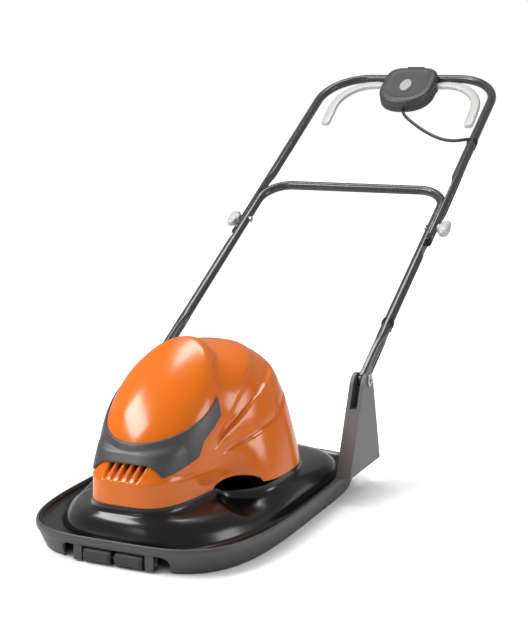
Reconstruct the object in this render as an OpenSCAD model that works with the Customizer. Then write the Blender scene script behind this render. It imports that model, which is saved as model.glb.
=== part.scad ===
// Hover mower: a moulded hood with a bumper rim and front rollers, a motor under a
// cover with a visor, and a folding two-piece tube handle with a switchbox.
// Deck sizes are measured from the blade axis; -Y is the front. Handle sizes are
// measured along the handle from its pivot (s), and square to it (n).

/* [Rim] */
// Half of the rim's greatest width
rim_half_w = 200; // [190:1:215]
// Rim length ahead of its widest line
rim_front = 352; // [335:1:370]
// Rim length behind its widest line
rim_rear = 258; // [245:1:270]
// How far the widest line lies behind the blade axis
rim_mid_y = 62; // [50:1:75]
// Height of the rim's lip
rim_h = 42; // [38:1:46]
// How far the rim's foot is drawn in under the lip
rim_tuck = 13; // [8:1:16]
// Wall of the bumper
bumper_wall = 3.5; // [2.5:0.5:4.5]
// Width of the ledge that carries the hood
ledge_w = 8; // [6:0.5:10]
// Width of the lip's rolled edge
lip_w = 9; // [7:0.5:10]
// Depth of the lip's inner step down to the ledge
lip_step = 5; // [3:0.5:7]
// Half-width of the roller cut-out in the bumper
cutout_half_w = 92; // [86:1:100]
// Height of the roller cut-out
cutout_h = 27; // [26:0.5:30]

/* [Hood] */
// Height of the hood's seat for the motor cover above the ground
hood_top_z = 87; // [80:1:95]
// Height of the seat above the hood's dome
neck_h = 10; // [8:1:12]
// Wall of the hood
hood_wall = 3; // [2.5:0.5:4]
// Height of the skirt's lower edge above the ground
skirt_z = 8; // [5:1:12]
// Half-width of the dome's flat top
plate_half_w = 158; // [157:1:162]
// Front of the dome's flat top, ahead of the blade axis
plate_front = 260; // [259:1:263]
// Rear of the dome's flat top, behind the blade axis
plate_rear = 200; // [192:1:210]
// Width of the channel between rim and dome at the sides
channel_w = 18; // [14:1:20]
// Width of the channel at the front
channel_front = 8; // [6:1:10]
// Bore in the top plate for the motor
motor_bore_d = 92; // [84:1:100]
// Air holes through the top plate
air_hole_n = 8; // [6:1:8]
// Diameter of an air hole
air_hole_d = 22; // [16:1:26]
// Radius of the ring of air holes
air_ring_r = 104; // [98:1:112]

/* [Motor cover] */
// Wall of the cover
cover_wall = 3; // [2.6:0.2:4]
// Top of the bulb above the ground
bulb_top_z = 307; // [295:1:315]
// Half-width of the bulb
bulb_half_w = 94; // [88:1:100]
// Top of the rear body above the ground
rear_top_z = 285; // [275:1:292]
// Half-width of the rear body at its base
rear_half_w = 156; // [150:1:158]
// Half-width of the nose at its front
nose_half_w = 70; // [66:1:74]
// Front of the nose, ahead of the blade axis
nose_front = 258; // [252:1:262]
// Height of the nose's upright front band
nose_band_h = 36; // [28:1:44]
// Number of vent slots in the nose
vent_n = 5; // [3:1:6]
// Distance between vent slots
vent_pitch = 13.5; // [11:0.5:15]
// Width of a vent slot at its top
vent_w = 7; // [5:0.5:8]
// Height of a vent slot
vent_h = 19; // [14:1:22]
// Span of the side arch
arch_w = 72; // [60:1:80]
// Rise of the side arch
arch_h = 14; // [10:1:18]

/* [Visor] */
// Thickness of the visor
visor_t = 3; // [2:0.5:4]
// Height of the visor's upper edge at the middle
visor_top_z = 175; // [170:1:180]
// Height of the visor's lower edge over the vents
visor_low_z = 148; // [146:1:152]
// Height of the visor's two lower points
visor_point_z = 130; // [126:1:134]
// Height of the upper edge at the ends of the arms
visor_arm_z = 232; // [222:1:240]

/* [Motor] */
// Side of the square stator stack
stator_w = 84; // [78:1:90]
// Height of the stator stack
stator_h = 62; // [50:1:70]
// Bore of the stator
stator_bore = 50; // [46:1:54]
// Height of the motor foot under the stator
motor_foot_h = 34; // [30:1:40]
// Diameter of the motor shaft
shaft_d = 10; // [8:1:12]
// Air gap between armature and stator
air_gap = 0.8; // [0.5:0.1:1.2]
// Outer diameter of a shaft bearing
bearing_d = 26; // [22:1:30]
// Width of a shaft bearing
bearing_w = 8; // [7:1:10]
// Diameter of the commutator
commutator_d = 30; // [26:1:34]

/* [Blade and fan] */
// Diameter of the blade's cutting circle
blade_d = 330; // [300:1:335]
// Width of the blade
blade_w = 46; // [40:1:52]
// Thickness of the blade
blade_t = 3; // [2:0.5:4]
// Height of the blade's underside above the ground
blade_z = 20; // [16:1:26]
// Diameter of the fan
fan_d = 250; // [220:1:270]
// Number of fan vanes
fan_vane_n = 12; // [8:1:16]
// Height of the fan vanes
fan_vane_h = 22; // [16:1:24]

/* [Rollers] */
// Diameter of a roller
roller_d = 26; // [24:1:26]
// Length of a roller
roller_len = 46; // [40:1:48]
// Gap between the two rollers
roller_gap = 8; // [6:0.5:12]
// Diameter of the roller axle
axle_d = 6; // [5:0.5:8]
// Width of a roller bracket
bracket_w = 14; // [10:1:16]
// Running clearance of rollers, levers and pivots, on the radius
run_clear = 0.08; // [0.05:0.01:0.1]

/* [Handle pivot] */
// Pivot height above the ground
pivot_z = 197.5; // [190:0.5:205]
// Pivot distance behind the blade axis
pivot_y = 235; // [228:1:242]
// Half of the spacing of the lower handle's legs
leg_half_w = 202; // [200:0.5:204]
// Angle of the handle above the horizontal
handle_angle = 30; // [24:1:38]
// Width of a pillar across its cheeks
pillar_w = 26; // [24:1:30]
// Thickness of a pillar cheek
cheek_t = 5; // [4:0.5:6]
// Radius of the pillar's head
pillar_head_r = 26; // [24:1:28]
// Front of the pillar's foot, behind the blade axis
pillar_front_y = 146; // [135:1:155]
// Rear of the pillar's foot, behind the blade axis
pillar_rear_y = 300; // [290:1:310]
// Diameter of the pivot bolt
pivot_bolt_d = 8; // [6:1:10]
// Diameter of the pivot bolt's head
pivot_head_d = 22; // [18:1:24]

/* [Lower handle] */
// Outer diameter of the handle tube
tube_d = 19; // [18:0.5:20]
// Wall of the handle tube
tube_wall = 1.4; // [1:0.1:2]
// Distance from the pivot to the crossbar
crossbar_s = 581; // [576:1:590]
// Bend radius at the crossbar
crossbar_bend_r = 60; // [50:1:75]
// Thickness of the flattened foot of a leg
flat_t = 10; // [9:0.5:11]
// Height of the flattened foot of a leg
flat_h = 24; // [22:0.5:26]
// Length of the flattened foot of a leg
flat_len = 112; // [95:1:120]
// Depth to which the lower leg is pressed flat at the clamp
lower_press = 6.5; // [5:0.1:7]

/* [Upper handle] */
// Distance from the pivot to the top bar
top_s = 1031; // [1020:1:1040]
// Bend radius at the top bar
top_bend_r = 100; // [85:1:115]
// Distance from the pivot to the clamp bolts
clamp_s = 452; // [435:1:465]
// Distance from the pivot to the upper handle's lower ends
upper_end_s = 408; // [395:1:415]
// Distance from the pivot to the top of the pressed length
press_end_s = 604; // [600:1:625]
// Depth to which the upper leg is pressed flat at the clamp
upper_press = 9; // [7:0.1:9.5]
// Gap between the legs at the clamp
clamp_gap = 0.4; // [0.3:0.1:0.6]
// Diameter of a clamp bolt
clamp_bolt_d = 6; // [5:0.5:8]
// Span of a knob's wings
knob_span = 46; // [38:1:50]
// Thickness of a knob's wings
knob_wing_t = 13; // [10:1:16]
// Depth of a knob along its bolt
knob_depth = 20; // [16:1:24]

/* [Switchbox] */
// Half of the switchbox width
box_half_w = 63; // [60:1:66]
// Length of the switchbox below the top bar
box_below = 122; // [115:1:130]
// Length of the switchbox above the top bar
box_above = 18; // [16:1:22]
// Height of the lid at the top bar
lid_h = 24; // [23:1:28]
// Height of the lid at its lower end
lid_low_h = 14; // [13:1:18]
// Depth of the base
base_h = 20; // [18:1:24]
// Wall of the switchbox
box_wall = 2.6; // [2:0.2:3]
// Diameter of the lock button
button_d = 36; // [32:1:40]
// Travel of the lock button
button_travel = 4; // [3:0.5:5]
// Width of a lever arm
lever_w = 15; // [12:1:18]
// Thickness of a lever arm
lever_t = 12; // [10:1:14]
// Radius of a lever's bend
lever_bend_r = 84; // [78:1:90]
// Distance of a lever's tip below the top bar
lever_drop = 172; // [160:1:185]
// Droop of the levers under the handle in degrees
lever_droop = 7; // [5:0.5:9]
// Diameter of the lever pin
lever_pin_d = 5; // [4:0.5:6]

/* [Lead] */
// Diameter of the lead
lead_d = 7; // [6:0.5:8]

/* [Hidden] */

// One overrun serves all cuts.
over = 1;
// Clearance of seats, glides and drilled holes.
seat_gap = 0.15;
// Clearance between curved skins and between soft and hard pieces.
skin_gap = 0.3;
// A share that keeps powers finite.
small = 0.01;
// Facets round the rim, the hood and the cover.
around = 56;
$fn = 40;

// The mains inlet stands a little proud at the back of the switchbox.
inlet_w = 40;
inlet_h = 22;
inlet_mid_n = 6;
inlet_proud = 8;

// The part's origin lies on the ground below the middle of the whole machine.
rim_front_y = rim_mid_y - rim_front;
box_back_y = pivot_y + (top_s + box_above + inlet_proud) * cos(handle_angle)
    + (inlet_h / 2 - inlet_mid_n) * sin(handle_angle);
origin_y = (rim_front_y + box_back_y) / 2;

rim_front_power = 4;
rim_rear_power = 5;
foot_front_power = 2.8;
foot_rear_power = 4;
plate_front_power = 3.2;
plate_rear_power = 2.6;

function power_of(t, n) = sign(t) * pow(abs(t), 2 / n);

// A point of an oval outline that is drawn square or round by its powers;
// the angle starts at the front and turns towards +X.
function oval(a, half_w, front, rear, mid, front_power, rear_power) =
    let (n = cos(a) > 0 ? front_power : rear_power)
    [half_w * power_of(sin(a), n), mid - (cos(a) > 0 ? front : rear) * power_of(cos(a), n)];

function angles() = [for (i = [0:around - 1]) 360 * i / around];

// The rim's outline, set out by an offset, at a height.
function rim_ring(offset, z) = [
    for (a = angles())
    let (p = oval(a, rim_half_w + offset, rim_front + offset, rim_rear + offset,
        rim_mid_y, rim_front_power, rim_rear_power))
    [p[0], p[1], z]
];

function side_faces(n, m) = [
    for (k = [0:m - 2], i = [0:n - 1])
    let (a = k * n, b = a + n, j = (i + 1) % n)
    each [[a + i, b + i, b + j], [a + i, b + j, a + j]]
];

// A closed solid through a stack of rings with flat ends.
module loft(rings) {
    n = len(rings[0]);
    m = len(rings);
    polyhedron(
        points = [for (r = rings) each r],
        faces = concat(
            [[for (i = [0:n - 1]) i]],
            [[for (i = [n - 1:-1:0]) (m - 1) * n + i]],
            side_faces(n, m)
        )
    );
}

// A ring-shaped solid: the stack runs round into its first ring.
module ring_loft(rings) {
    n = len(rings[0]);
    polyhedron(
        points = concat([for (r = rings) each r], rings[0]),
        faces = side_faces(n, len(rings) + 1)
    );
}

module deck_frame() {
    translate([0, -origin_y, 0])
        children();
}

// X is across, Y runs up the handle and Z is square to it.
module handle_frame() {
    deck_frame()
        translate([0, pivot_y, pivot_z])
            rotate([handle_angle, 0, 0])
                children();
}

module across(d, from_x, to_x) {
    translate([from_x, 0, 0])
        rotate([0, 90, 0])
            cylinder(d = d, h = to_x - from_x);
}

module upright(d, z, h) {
    translate([0, 0, z])
        cylinder(d = d, h = h);
}

module both_sides() {
    children();
    mirror([1, 0, 0])
        children();
}

// The hood

lip_top_in = rim_tuck * 0.25;
ledge_z = rim_h - lip_step;
ledge_out = lip_w + bumper_wall;
ledge_in = ledge_out + ledge_w;
skirt_out = ledge_in + skin_gap;
flange_out = ledge_out + skin_gap;
flange_t = hood_wall * 0.7;
dome_z = hood_top_z - neck_h;
// Shares of the dome's way in from its foot and up to its flat top.
dome_in_shares = [0, 0.08, 0.2, 0.4, 0.7, 1];
dome_up_shares = [0.02, 0.35, 0.62, 0.82, 0.95, 1];

// The dome's flat top falls a little towards the rear.
dome_fall_share = 0.02;

function dome_top_z(y) = dome_z - (y + plate_front) * dome_fall_share;

// A ring of the dome, a share of the way in and up, shrunk by a wall.
function dome_ring(in_share, up_share, wall) =
    let (
        foot_in = flange_out + channel_w + wall,
        foot_front_in = flange_out + channel_front + wall,
        half_w = (rim_half_w - foot_in) * (1 - in_share) + (plate_half_w - wall) * in_share,
        front = (rim_front - foot_front_in) * (1 - in_share) + (plate_front + rim_mid_y - wall) * in_share,
        rear = (rim_rear - foot_in) * (1 - in_share) + (plate_rear - rim_mid_y - wall) * in_share,
        front_power = foot_front_power * (1 - in_share) + plate_front_power * in_share,
        rear_power = foot_rear_power * (1 - in_share) + plate_rear_power * in_share,
        low_z = ledge_z + flange_t
    )
    [for (a = angles())
        let (p = oval(a, half_w, front, rear, rim_mid_y, front_power, rear_power))
        [p[0], p[1], low_z + (dome_top_z(p[1]) - low_z) * up_share - wall]];

dome_steps = [0:len(dome_in_shares) - 1];

module dome() {
    last = len(dome_in_shares) - 1;
    loft(concat(
        [for (k = [last:-1:0]) dome_ring(dome_in_shares[k], dome_up_shares[k], hood_wall)],
        [rim_ring(-skirt_out - hood_wall, ledge_z - hood_wall),
            rim_ring(-skirt_out - hood_wall, skirt_z),
            rim_ring(-skirt_out, skirt_z),
            rim_ring(-skirt_out, ledge_z),
            rim_ring(-flange_out, ledge_z),
            rim_ring(-flange_out, ledge_z + flange_t)],
        [for (k = dome_steps) dome_ring(dome_in_shares[k], dome_up_shares[k], 0)]
    ));
}

neck_in = 1.6;

// The neck follows the motor cover's base.
module neck(inset, low_z, high_z) {
    translate([0, 0, low_z])
        linear_extrude(high_z - low_z)
            polygon([for (p = neck_ring(inset)) [p[0], p[1]]]);
}

module hood() {
    neck_z = dome_top_z(rear_mid_y + rear_half_w) - over;
    color("#1c1c1c") deck_frame()
        difference() {
            union() {
                dome();
                neck(neck_in, neck_z, hood_top_z);
            }
            neck(neck_in + hood_wall, neck_z - hood_wall, hood_top_z - hood_wall);
            hood_openings();
        }
}

roller_y = rim_front_y + roller_d / 2 + over;
roller_span = roller_gap + 2 * roller_len;
plate_hole_z = hood_top_z - 2 * hood_wall;

module hood_openings() {
    upright(motor_bore_d, plate_hole_z, 3 * hood_wall);
    for (i = [0:air_hole_n - 1])
        rotate(360 * (i + 0.5) / air_hole_n)
            translate([air_ring_r, 0, plate_hole_z])
                cylinder(d = air_hole_d, h = 3 * hood_wall);
    screw_places()
        upright(cover_screw_d + 2 * seat_gap, plate_hole_z, 3 * hood_wall);
    foot_screw_places()
        upright(motor_screw_d + 2 * seat_gap, plate_hole_z, 3 * hood_wall);
    translate([-roller_span / 2 - roller_gap / 2, roller_y - roller_d, -over])
        cube([roller_span + roller_gap, roller_d * 1.5 + 2 * over, cutout_h + 2 * over]);
}

// The bumper

notch_w = 9;
notch_h = 8;
bumper_end_y = pillar_front_y + (pillar_rear_y - pillar_front_y) * 0.7;

module bumper() {
    color("#5a5a5a") deck_frame()
        difference() {
            ring_loft([
                rim_ring(-rim_tuck - bumper_wall, 0),
                rim_ring(-rim_tuck, 0),
                rim_ring(-lip_top_in, rim_h * 0.62),
                rim_ring(0, rim_h * 0.8),
                rim_ring(-lip_top_in, rim_h * 0.97),
                rim_ring(-lip_w * 0.6, rim_h),
                rim_ring(-lip_w, rim_h),
                rim_ring(-ledge_out, ledge_z),
                rim_ring(-ledge_in, ledge_z),
                rim_ring(-ledge_in, ledge_z - bumper_wall),
                rim_ring(-lip_top_in - bumper_wall * 1.3, ledge_z - bumper_wall),
                rim_ring(-lip_top_in - bumper_wall * 1.3, rim_h * 0.6)
            ]);
            roller_cutout();
            both_sides()
                rim_notches();
            translate([-rim_half_w - over, bumper_end_y, -over])
                cube([2 * rim_half_w + 2 * over, rim_rear, rim_h + 2 * over]);
        }
}

module roller_cutout() {
    corner_r = cutout_h / 2;
    translate([0, rim_front_y + rim_tuck + ledge_in, 0])
        rotate([90, 0, 0])
            linear_extrude(2 * ledge_in + rim_tuck) {
                translate([-cutout_half_w + corner_r, -over])
                    square([2 * (cutout_half_w - corner_r), cutout_h + over]);
                translate([-cutout_half_w, -over])
                    square([2 * cutout_half_w, cutout_h - corner_r + over]);
                for (side = [-1, 1])
                    translate([side * (cutout_half_w - corner_r), cutout_h - corner_r])
                        circle(corner_r);
            }
}

notch_y_shares = [0.18, 0.36];

module rim_notches() {
    for (share = notch_y_shares)
        translate([rim_half_w - rim_tuck - 2 * bumper_wall,
            pillar_front_y - share * (pillar_rear_y - pillar_front_y), -over])
            cube([rim_tuck + 3 * bumper_wall, notch_w, notch_h + over]);
}

// The motor cover: three lobes that run into each other, a bulb over a nose
// in front and a broad rear body behind.

cover_z = hood_top_z;
rear_mid_y = 29;
rear_front = 112;
bulb_mid_y = -104;
bulb_top_y = -44;
bulb_front = 246;
bulb_back = 112;
nose_mid_y = -140;
nose_back = 142;
nose_top_z = 214;
nose_flare_share = 0.1;
nose_slope_share = 0.66;
nose_narrow_share = 0.1;
rear_taper_share = 0.325;
rear_round_share = 0.4;
bulb_waist_share = 0.1;
// How sharply the lobes meet; a low power fills the valley between them.
blend_power = 5.7;
beyond = 4;

// Nought in the middle of a lobe, one on its skin and more outside it.
function lobe(x, y, half_w, front, back, mid, n_front, n_back) =
    let (n = y < mid ? n_front : n_back, reach = y < mid ? front : back)
    half_w <= 0 || reach <= 0 ? beyond : pow(pow(abs(x) / half_w, n) + pow(abs(y - mid) / reach, n), 1 / n);

function rear_lobe(p, wall) =
    let (
        h = max(0, (p[2] - cover_z) / (rear_top_z - wall - cover_z)),
        taper = h >= 1 ? 0 : (1 - rear_taper_share * pow(h, 1.12)) * pow(1 - pow(h, 7), 0.37),
        soft = min(1, h / rear_round_share),
        r = rear_half_w * taper - wall
    )
    lobe(p[0], p[1], r, (rear_front + (rear_half_w - rear_front) * soft) * taper - wall, r,
        rear_mid_y, 4 - 1.6 * soft, 2);

function bulb_lobe(p, wall) =
    let (
        h = max(0, (p[2] - cover_z) / (bulb_top_z - wall - cover_z)),
        mid = bulb_mid_y + (bulb_top_y - bulb_mid_y) * pow(h, 4),
        front_y = -bulb_front + (bulb_front + bulb_top_y) * pow(h, 2.4),
        waist = 1 - bulb_waist_share * pow(max(0, 1 - h), 6)
    )
    h >= 1 ? beyond : lobe(p[0], p[1], bulb_half_w * sqrt(1 - pow(h, 3.2)) * waist - wall,
        mid - front_y - wall, bulb_back * sqrt(1 - pow(h, 3)) - wall, mid, 2.2, 2.2);

function nose_lobe(p, wall) =
    let (
        h = max(0, (p[2] - cover_z) / (nose_top_z - wall - cover_z)),
        front_y = -nose_front + max(0, p[2] - cover_z - nose_band_h) * nose_slope_share,
        round = h >= 1 ? 0 : pow(1 - pow(h, 6), 0.25),
        half_w = (nose_half_w + (p[1] + nose_front) * nose_flare_share) * (1 - nose_narrow_share * h) * round
    )
    lobe(p[0], p[1], half_w - wall, nose_mid_y - front_y - wall, nose_back - wall, nose_mid_y, 3.4, 6);

// The front lobes and the rear lobe run softly into each other.
function in_cover(p, wall) =
    pow(max(small, min(bulb_lobe(p, wall), nose_lobe(p, wall))), -blend_power)
        + pow(max(small, rear_lobe(p, wall)), -blend_power) > 1;

// Distance along a direction to the cover's skin, by halving.
function skin(from, dir, wall, near, far, left) =
    left == 0 ? near :
    let (middle = (near + far) / 2)
    in_cover(from + middle * dir, wall)
        ? skin(from, dir, wall, middle, far, left - 1)
        : skin(from, dir, wall, near, middle, left - 1);

skin_steps = 13;
cover_mid_y = -50;
cover_eye = [0, cover_mid_y, cover_z];
cover_far = rear_half_w + nose_front;
cover_rise = 5.5;
cover_crowd = 25;
cover_rows = 15;

function cover_dir(a, rise) = [sin(a) * cos(rise), -cos(a) * cos(rise), sin(rise)];

// The facets lie closer together round the front.
function cover_angles() = [for (a = angles()) a - cover_crowd * sin(a)];

function cover_ring(row, wall) = [
    for (a = cover_angles())
    let (d = cover_dir(a, row * cover_rise))
    cover_eye + skin(cover_eye, d, wall, 0, cover_far, skin_steps) * d
];

// The outline of the cover's base, set in by a distance.
function neck_ring(inset) = cover_ring(0, inset);

function cover_top(wall) =
    cover_eye + [0, 0, skin(cover_eye, [0, 0, 1], wall, 0, cover_far, skin_steps)];

// A shell: the inner skin from its crown down, then the outer.
module cover_shell() {
    n = around;
    m = cover_rows + 1;
    points = concat(
        [for (row = [cover_rows:-1:0]) each cover_ring(row, cover_wall)],
        [for (row = [0:cover_rows]) each cover_ring(row, 0)],
        [cover_top(cover_wall), cover_top(0)]
    );
    inner_top = 2 * m * n;
    polyhedron(
        points = points,
        faces = concat(
            side_faces(n, 2 * m),
            [for (i = [0:n - 1]) [inner_top, i, (i + 1) % n]],
            [for (i = [0:n - 1]) [inner_top + 1, (2 * m - 1) * n + (i + 1) % n, (2 * m - 1) * n + i]]
        )
    );
}

vent_mid_z = 137;
vent_taper_share = 0.6;
vent_lean_share = 0.16;
arch_r = (arch_w * arch_w / 4 + arch_h * arch_h) / (2 * arch_h);
arch_x = 112;
arch_y = -78;
arch_turn = 16;
arch_len = 120;

module motor_cover() {
    color("#ee7418") deck_frame()
        difference() {
            union() {
                cover_shell();
                screw_places()
                    upright(cover_boss_d, cover_z, cover_boss_h);
            }
            vents();
            both_sides()
                translate([arch_x, arch_y, cover_z + arch_h - arch_r])
                    rotate([90, 0, arch_turn])
                        cylinder(r = arch_r, h = arch_len, center = true);
            screw_places()
                upright(cover_screw_d + 2 * seat_gap, cover_z - over, cover_screw_len);
        }
}

module vents() {
    low_w = vent_w * vent_taper_share;
    lean = vent_h * vent_lean_share;
    for (i = [0:vent_n - 1])
        translate([(i - (vent_n - 1) / 2) * vent_pitch, -nose_front + 2 * nose_band_h, vent_mid_z])
            rotate([90, 0, 0])
                linear_extrude(3 * nose_band_h) {
                    polygon([
                        [-vent_w / 2 + lean, vent_h / 2], [vent_w / 2 + lean, vent_h / 2],
                        [low_w / 2 - lean, -vent_h / 2], [-low_w / 2 - lean, -vent_h / 2]
                    ]);
                    translate([-lean, -vent_h / 2])
                        circle(d = low_w);
                }
}

cover_screw_d = 5;
cover_screw_len = 24;
cover_screw_head_d = 8;
cover_screw_head_h = 3;
cover_boss_d = 18;
cover_boss_h = 26;
// Shares of the rear body's half-width at which its screws stand.
cover_screw_shares = [0.7, 0.585];
cover_screw_x = rear_half_w * cover_screw_shares[0];
cover_screw_y = rear_mid_y + rear_half_w * cover_screw_shares[1];
nose_screw_in = 7;
nose_screw_x = nose_half_w - nose_screw_in;
nose_screw_y = -200;

module screw_places() {
    for (side = [-1, 1]) {
        translate([side * cover_screw_x, cover_screw_y, 0])
            children();
        translate([side * nose_screw_x, nose_screw_y, 0])
            children();
    }
}

// A screw, head down, with a cross recess.
module screw(d, len, head_d, head_h) {
    recess = head_d * 0.14;
    difference() {
        union() {
            cylinder(d = d, h = len);
            upright(head_d, -head_h, head_h);
        }
        for (turn = [0, 90])
            rotate(turn)
                translate([-head_d * 0.3, -recess / 2, -head_h - over])
                    cube([head_d * 0.6, recess, head_h / 2 + over]);
    }
}

module cover_screws() {
    color("silver") deck_frame()
        screw_places()
            translate([0, 0, hood_top_z - hood_wall])
                screw(cover_screw_d, cover_screw_len - over, cover_screw_head_d, cover_screw_head_h);
}

// The visor: a skin laid over the cover between two edge curves.

visor_angle = 58;
visor_cols = 32;
visor_rows = 4;
visor_point_angle = 17;
visor_mid_angle = 11;
visor_arm_share = 0.45;
visor_seat = 0.8;

function visor_high(a) = visor_top_z + (visor_arm_z - visor_top_z) * pow(abs(a) / visor_angle, 1.7);

function visor_low(a) =
    let (
        t = abs(a),
        past = max(0, t - visor_point_angle) / (visor_angle - visor_point_angle),
        tip = visor_arm_z - (visor_arm_z - visor_point_z) * (1 - visor_arm_share) * 0.45
    )
    t < visor_mid_angle ? visor_low_z :
    t < visor_point_angle
        ? visor_low_z + (visor_point_z - visor_low_z) * (t - visor_mid_angle) / (visor_point_angle - visor_mid_angle)
        : visor_point_z + (tip - visor_point_z) * pow(past, 0.85);

function visor_point(col, row, out) =
    let (
        a = -visor_angle + 2 * visor_angle * col / visor_cols,
        z = visor_low(a) + (visor_high(a) - visor_low(a)) * row / visor_rows,
        from = [0, cover_mid_y, z],
        dir = cover_dir(a, 0)
    )
    from + (skin(from, dir, 0, 0, cover_far, skin_steps) + out) * dir;

module visor() {
    // Each ring runs up outside and down inside.
    rings = [for (col = [0:visor_cols])
        concat(
            [for (row = [0:visor_rows]) visor_point(col, row, visor_seat + visor_t)],
            [for (row = [visor_rows:-1:0]) visor_point(col, row, visor_seat)]
        )];
    n = len(rings[0]);
    m = len(rings);
    end_fan = [for (k = [0:visor_rows - 1]) each [[k, k + 1, n - 2 - k], [k, n - 2 - k, n - 1 - k]]];
    color("#4f4f51") deck_frame()
        polyhedron(
            points = [for (r = rings) each r],
            faces = concat(
                [for (f = end_fan) [f[2], f[1], f[0]]],
                [for (f = end_fan) [for (v = f) (m - 1) * n + v]],
                [for (f = side_faces(n, m)) [f[2], f[1], f[0]]]
            )
        );
}

// The pillars

pillar_foot_z = rim_h;
foot_step = 2;
head_ahead = 4;
head_drop = 13;
pillar_head_y = pivot_y - head_ahead;
pillar_head_z = pivot_z - head_drop;
slot_play = 1.5;
slot_w = flat_t + 2 * slot_play;
slot_depth = 66;
slot_floor_z = pivot_z - slot_depth;
front_wall_drop = 44;
front_wall_top_z = pivot_z - front_wall_drop;
pivot_pocket_d = 24;
pivot_pocket_h = 1.5;
lead_room = lead_d + 4 * skin_gap;

// Where a line from a corner touches the head.
function touch(corner, centre, r, side) =
    let (v = corner - centre, d = norm(v), a = atan2(v[1], v[0]) + side * acos(r / d))
    centre + r * [cos(a), sin(a)];

module pillar_outline() {
    head = [pillar_head_y, pillar_head_z];
    front = [pillar_front_y, pillar_foot_z];
    rear = [pillar_rear_y, pillar_foot_z];
    polygon([front, rear, touch(rear, head, pillar_head_r, 1), touch(front, head, pillar_head_r, -1)]);
    translate(head)
        circle(pillar_head_r);
}

module pillar() {
    rotate([90, 0, 90])
        translate([0, 0, -pillar_w / 2])
            linear_extrude(pillar_w)
                pillar_outline();
}

module pillar_hollow() {
    depth = pillar_rear_y - pillar_front_y;
    // Room for the leg to swing.
    translate([-slot_w / 2, pillar_front_y - over, slot_floor_z])
        difference() {
            cube([slot_w, depth + 2 * over, pillar_head_r + pivot_z]);
            cube([slot_w, pillar_head_y - pillar_front_y - pillar_head_r + over + 2 * cheek_t,
                front_wall_top_z - slot_floor_z]);
        }
    // The lead's channel behind.
    translate([-slot_w / 2, pivot_y + cheek_t, pillar_foot_z + cheek_t])
        cube([slot_w, depth, slot_floor_z - pillar_foot_z]);
}

// A foot that reaches in to the rim when the legs stand wider.
module pillar_foot(side) {
    reach = leg_half_w - rim_half_w - foot_step;
    if (reach > 0)
        translate([side > 0 ? -pillar_w / 2 - reach : pillar_w / 2, pillar_front_y, pillar_foot_z])
            cube([reach, pillar_rear_y - pillar_front_y, cheek_t]);
}

module pillar_at(side) {
    color("#7f7f80") deck_frame()
        translate([side * leg_half_w, 0, 0])
            difference() {
                union() {
                    pillar();
                    pillar_foot(side);
                }
                pillar_hollow();
                translate([0, pivot_y, pivot_z])
                    across(pivot_bolt_d + 2 * run_clear, -pillar_w, pillar_w);
                translate([0, pivot_y, pivot_z])
                    across(pivot_pocket_d, side * pillar_w / 2 - pivot_pocket_h, side * pillar_w / 2 + pivot_pocket_h);
                if (side > 0)
                    translate([0, lead_foot_y, pillar_foot_z - over])
                        cylinder(d = gland_d + 2 * seat_gap, h = 2 * cheek_t);
            }
}

module pillar_left() {
    pillar_at(-1);
}

module pillar_right() {
    pillar_at(1);
}

pivot_head_h = 4;
pivot_nut_h = 5;
pivot_nut_d = 14;

module pivot_bolts() {
    seat = pillar_w / 2 - pivot_pocket_h;
    color("silver") deck_frame()
        both_sides()
            translate([leg_half_w + seat, pivot_y, pivot_z])
                rotate([0, -90, 0])
                    screw(pivot_bolt_d, seat + pillar_w / 2 + pivot_nut_h, pivot_head_d, pivot_head_h);
}

module pivot_nuts() {
    color("silver") deck_frame()
        both_sides()
            translate([leg_half_w - pillar_w / 2, pivot_y, pivot_z])
                rotate([0, -90, 0])
                    difference() {
                        cylinder(d = pivot_nut_d, h = pivot_nut_h, $fn = 6);
                        upright(pivot_bolt_d + 2 * run_clear, -over, pivot_nut_h + 2 * over);
                    }
}

// The rollers

axle_z = roller_d / 2;
bracket_h = ledge_z - bumper_wall;
bracket_front = 9;
bracket_back = 6;
bracket_low_z = 3;
axle_head_d = 9;
axle_head_h = 2;

module roller_axle() {
    half = roller_span / 2 + roller_gap / 2 + bracket_w;
    color("silver") deck_frame()
        translate([0, roller_y, axle_z]) {
            across(axle_d, -half, half + axle_head_h);
            across(axle_head_d, -half - axle_head_h, -half);
        }
}

module roller_brackets() {
    inner = roller_span / 2 + roller_gap / 2;
    color("#5a5a5a") deck_frame()
        both_sides()
            difference() {
                union() {
                    translate([inner, roller_y - bracket_front, bracket_low_z])
                        cube([bracket_w, bracket_front + bracket_back, cutout_h - bracket_low_z - 2 * skin_gap]);
                    translate([inner, roller_y - bracket_front / 2, bracket_low_z])
                        cube([bracket_w, bracket_front / 2 + bracket_back, bracket_h - bracket_low_z]);
                }
                translate([0, roller_y, axle_z])
                    across(axle_d + 2 * run_clear, 0, inner + bracket_w + over);
            }
}

module roller_at(side) {
    groove = roller_d * 0.03;
    rib_w = roller_len * 0.06;
    color("#434345") deck_frame()
        translate([side * (roller_gap + roller_len) / 2, roller_y, axle_z])
            difference() {
                union() {
                    across(roller_d - 2 * groove, -roller_len / 2, roller_len / 2);
                    across(roller_d, -roller_len / 2 + rib_w, roller_len / 2 - rib_w);
                }
                across(axle_d + 2 * run_clear, -roller_len, roller_len);
            }
}

module roller_left() {
    roller_at(-1);
}

module roller_right() {
    roller_at(1);
}

// The motor: it stands on the hood's top plate, its shaft on the blade axis.

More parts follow.
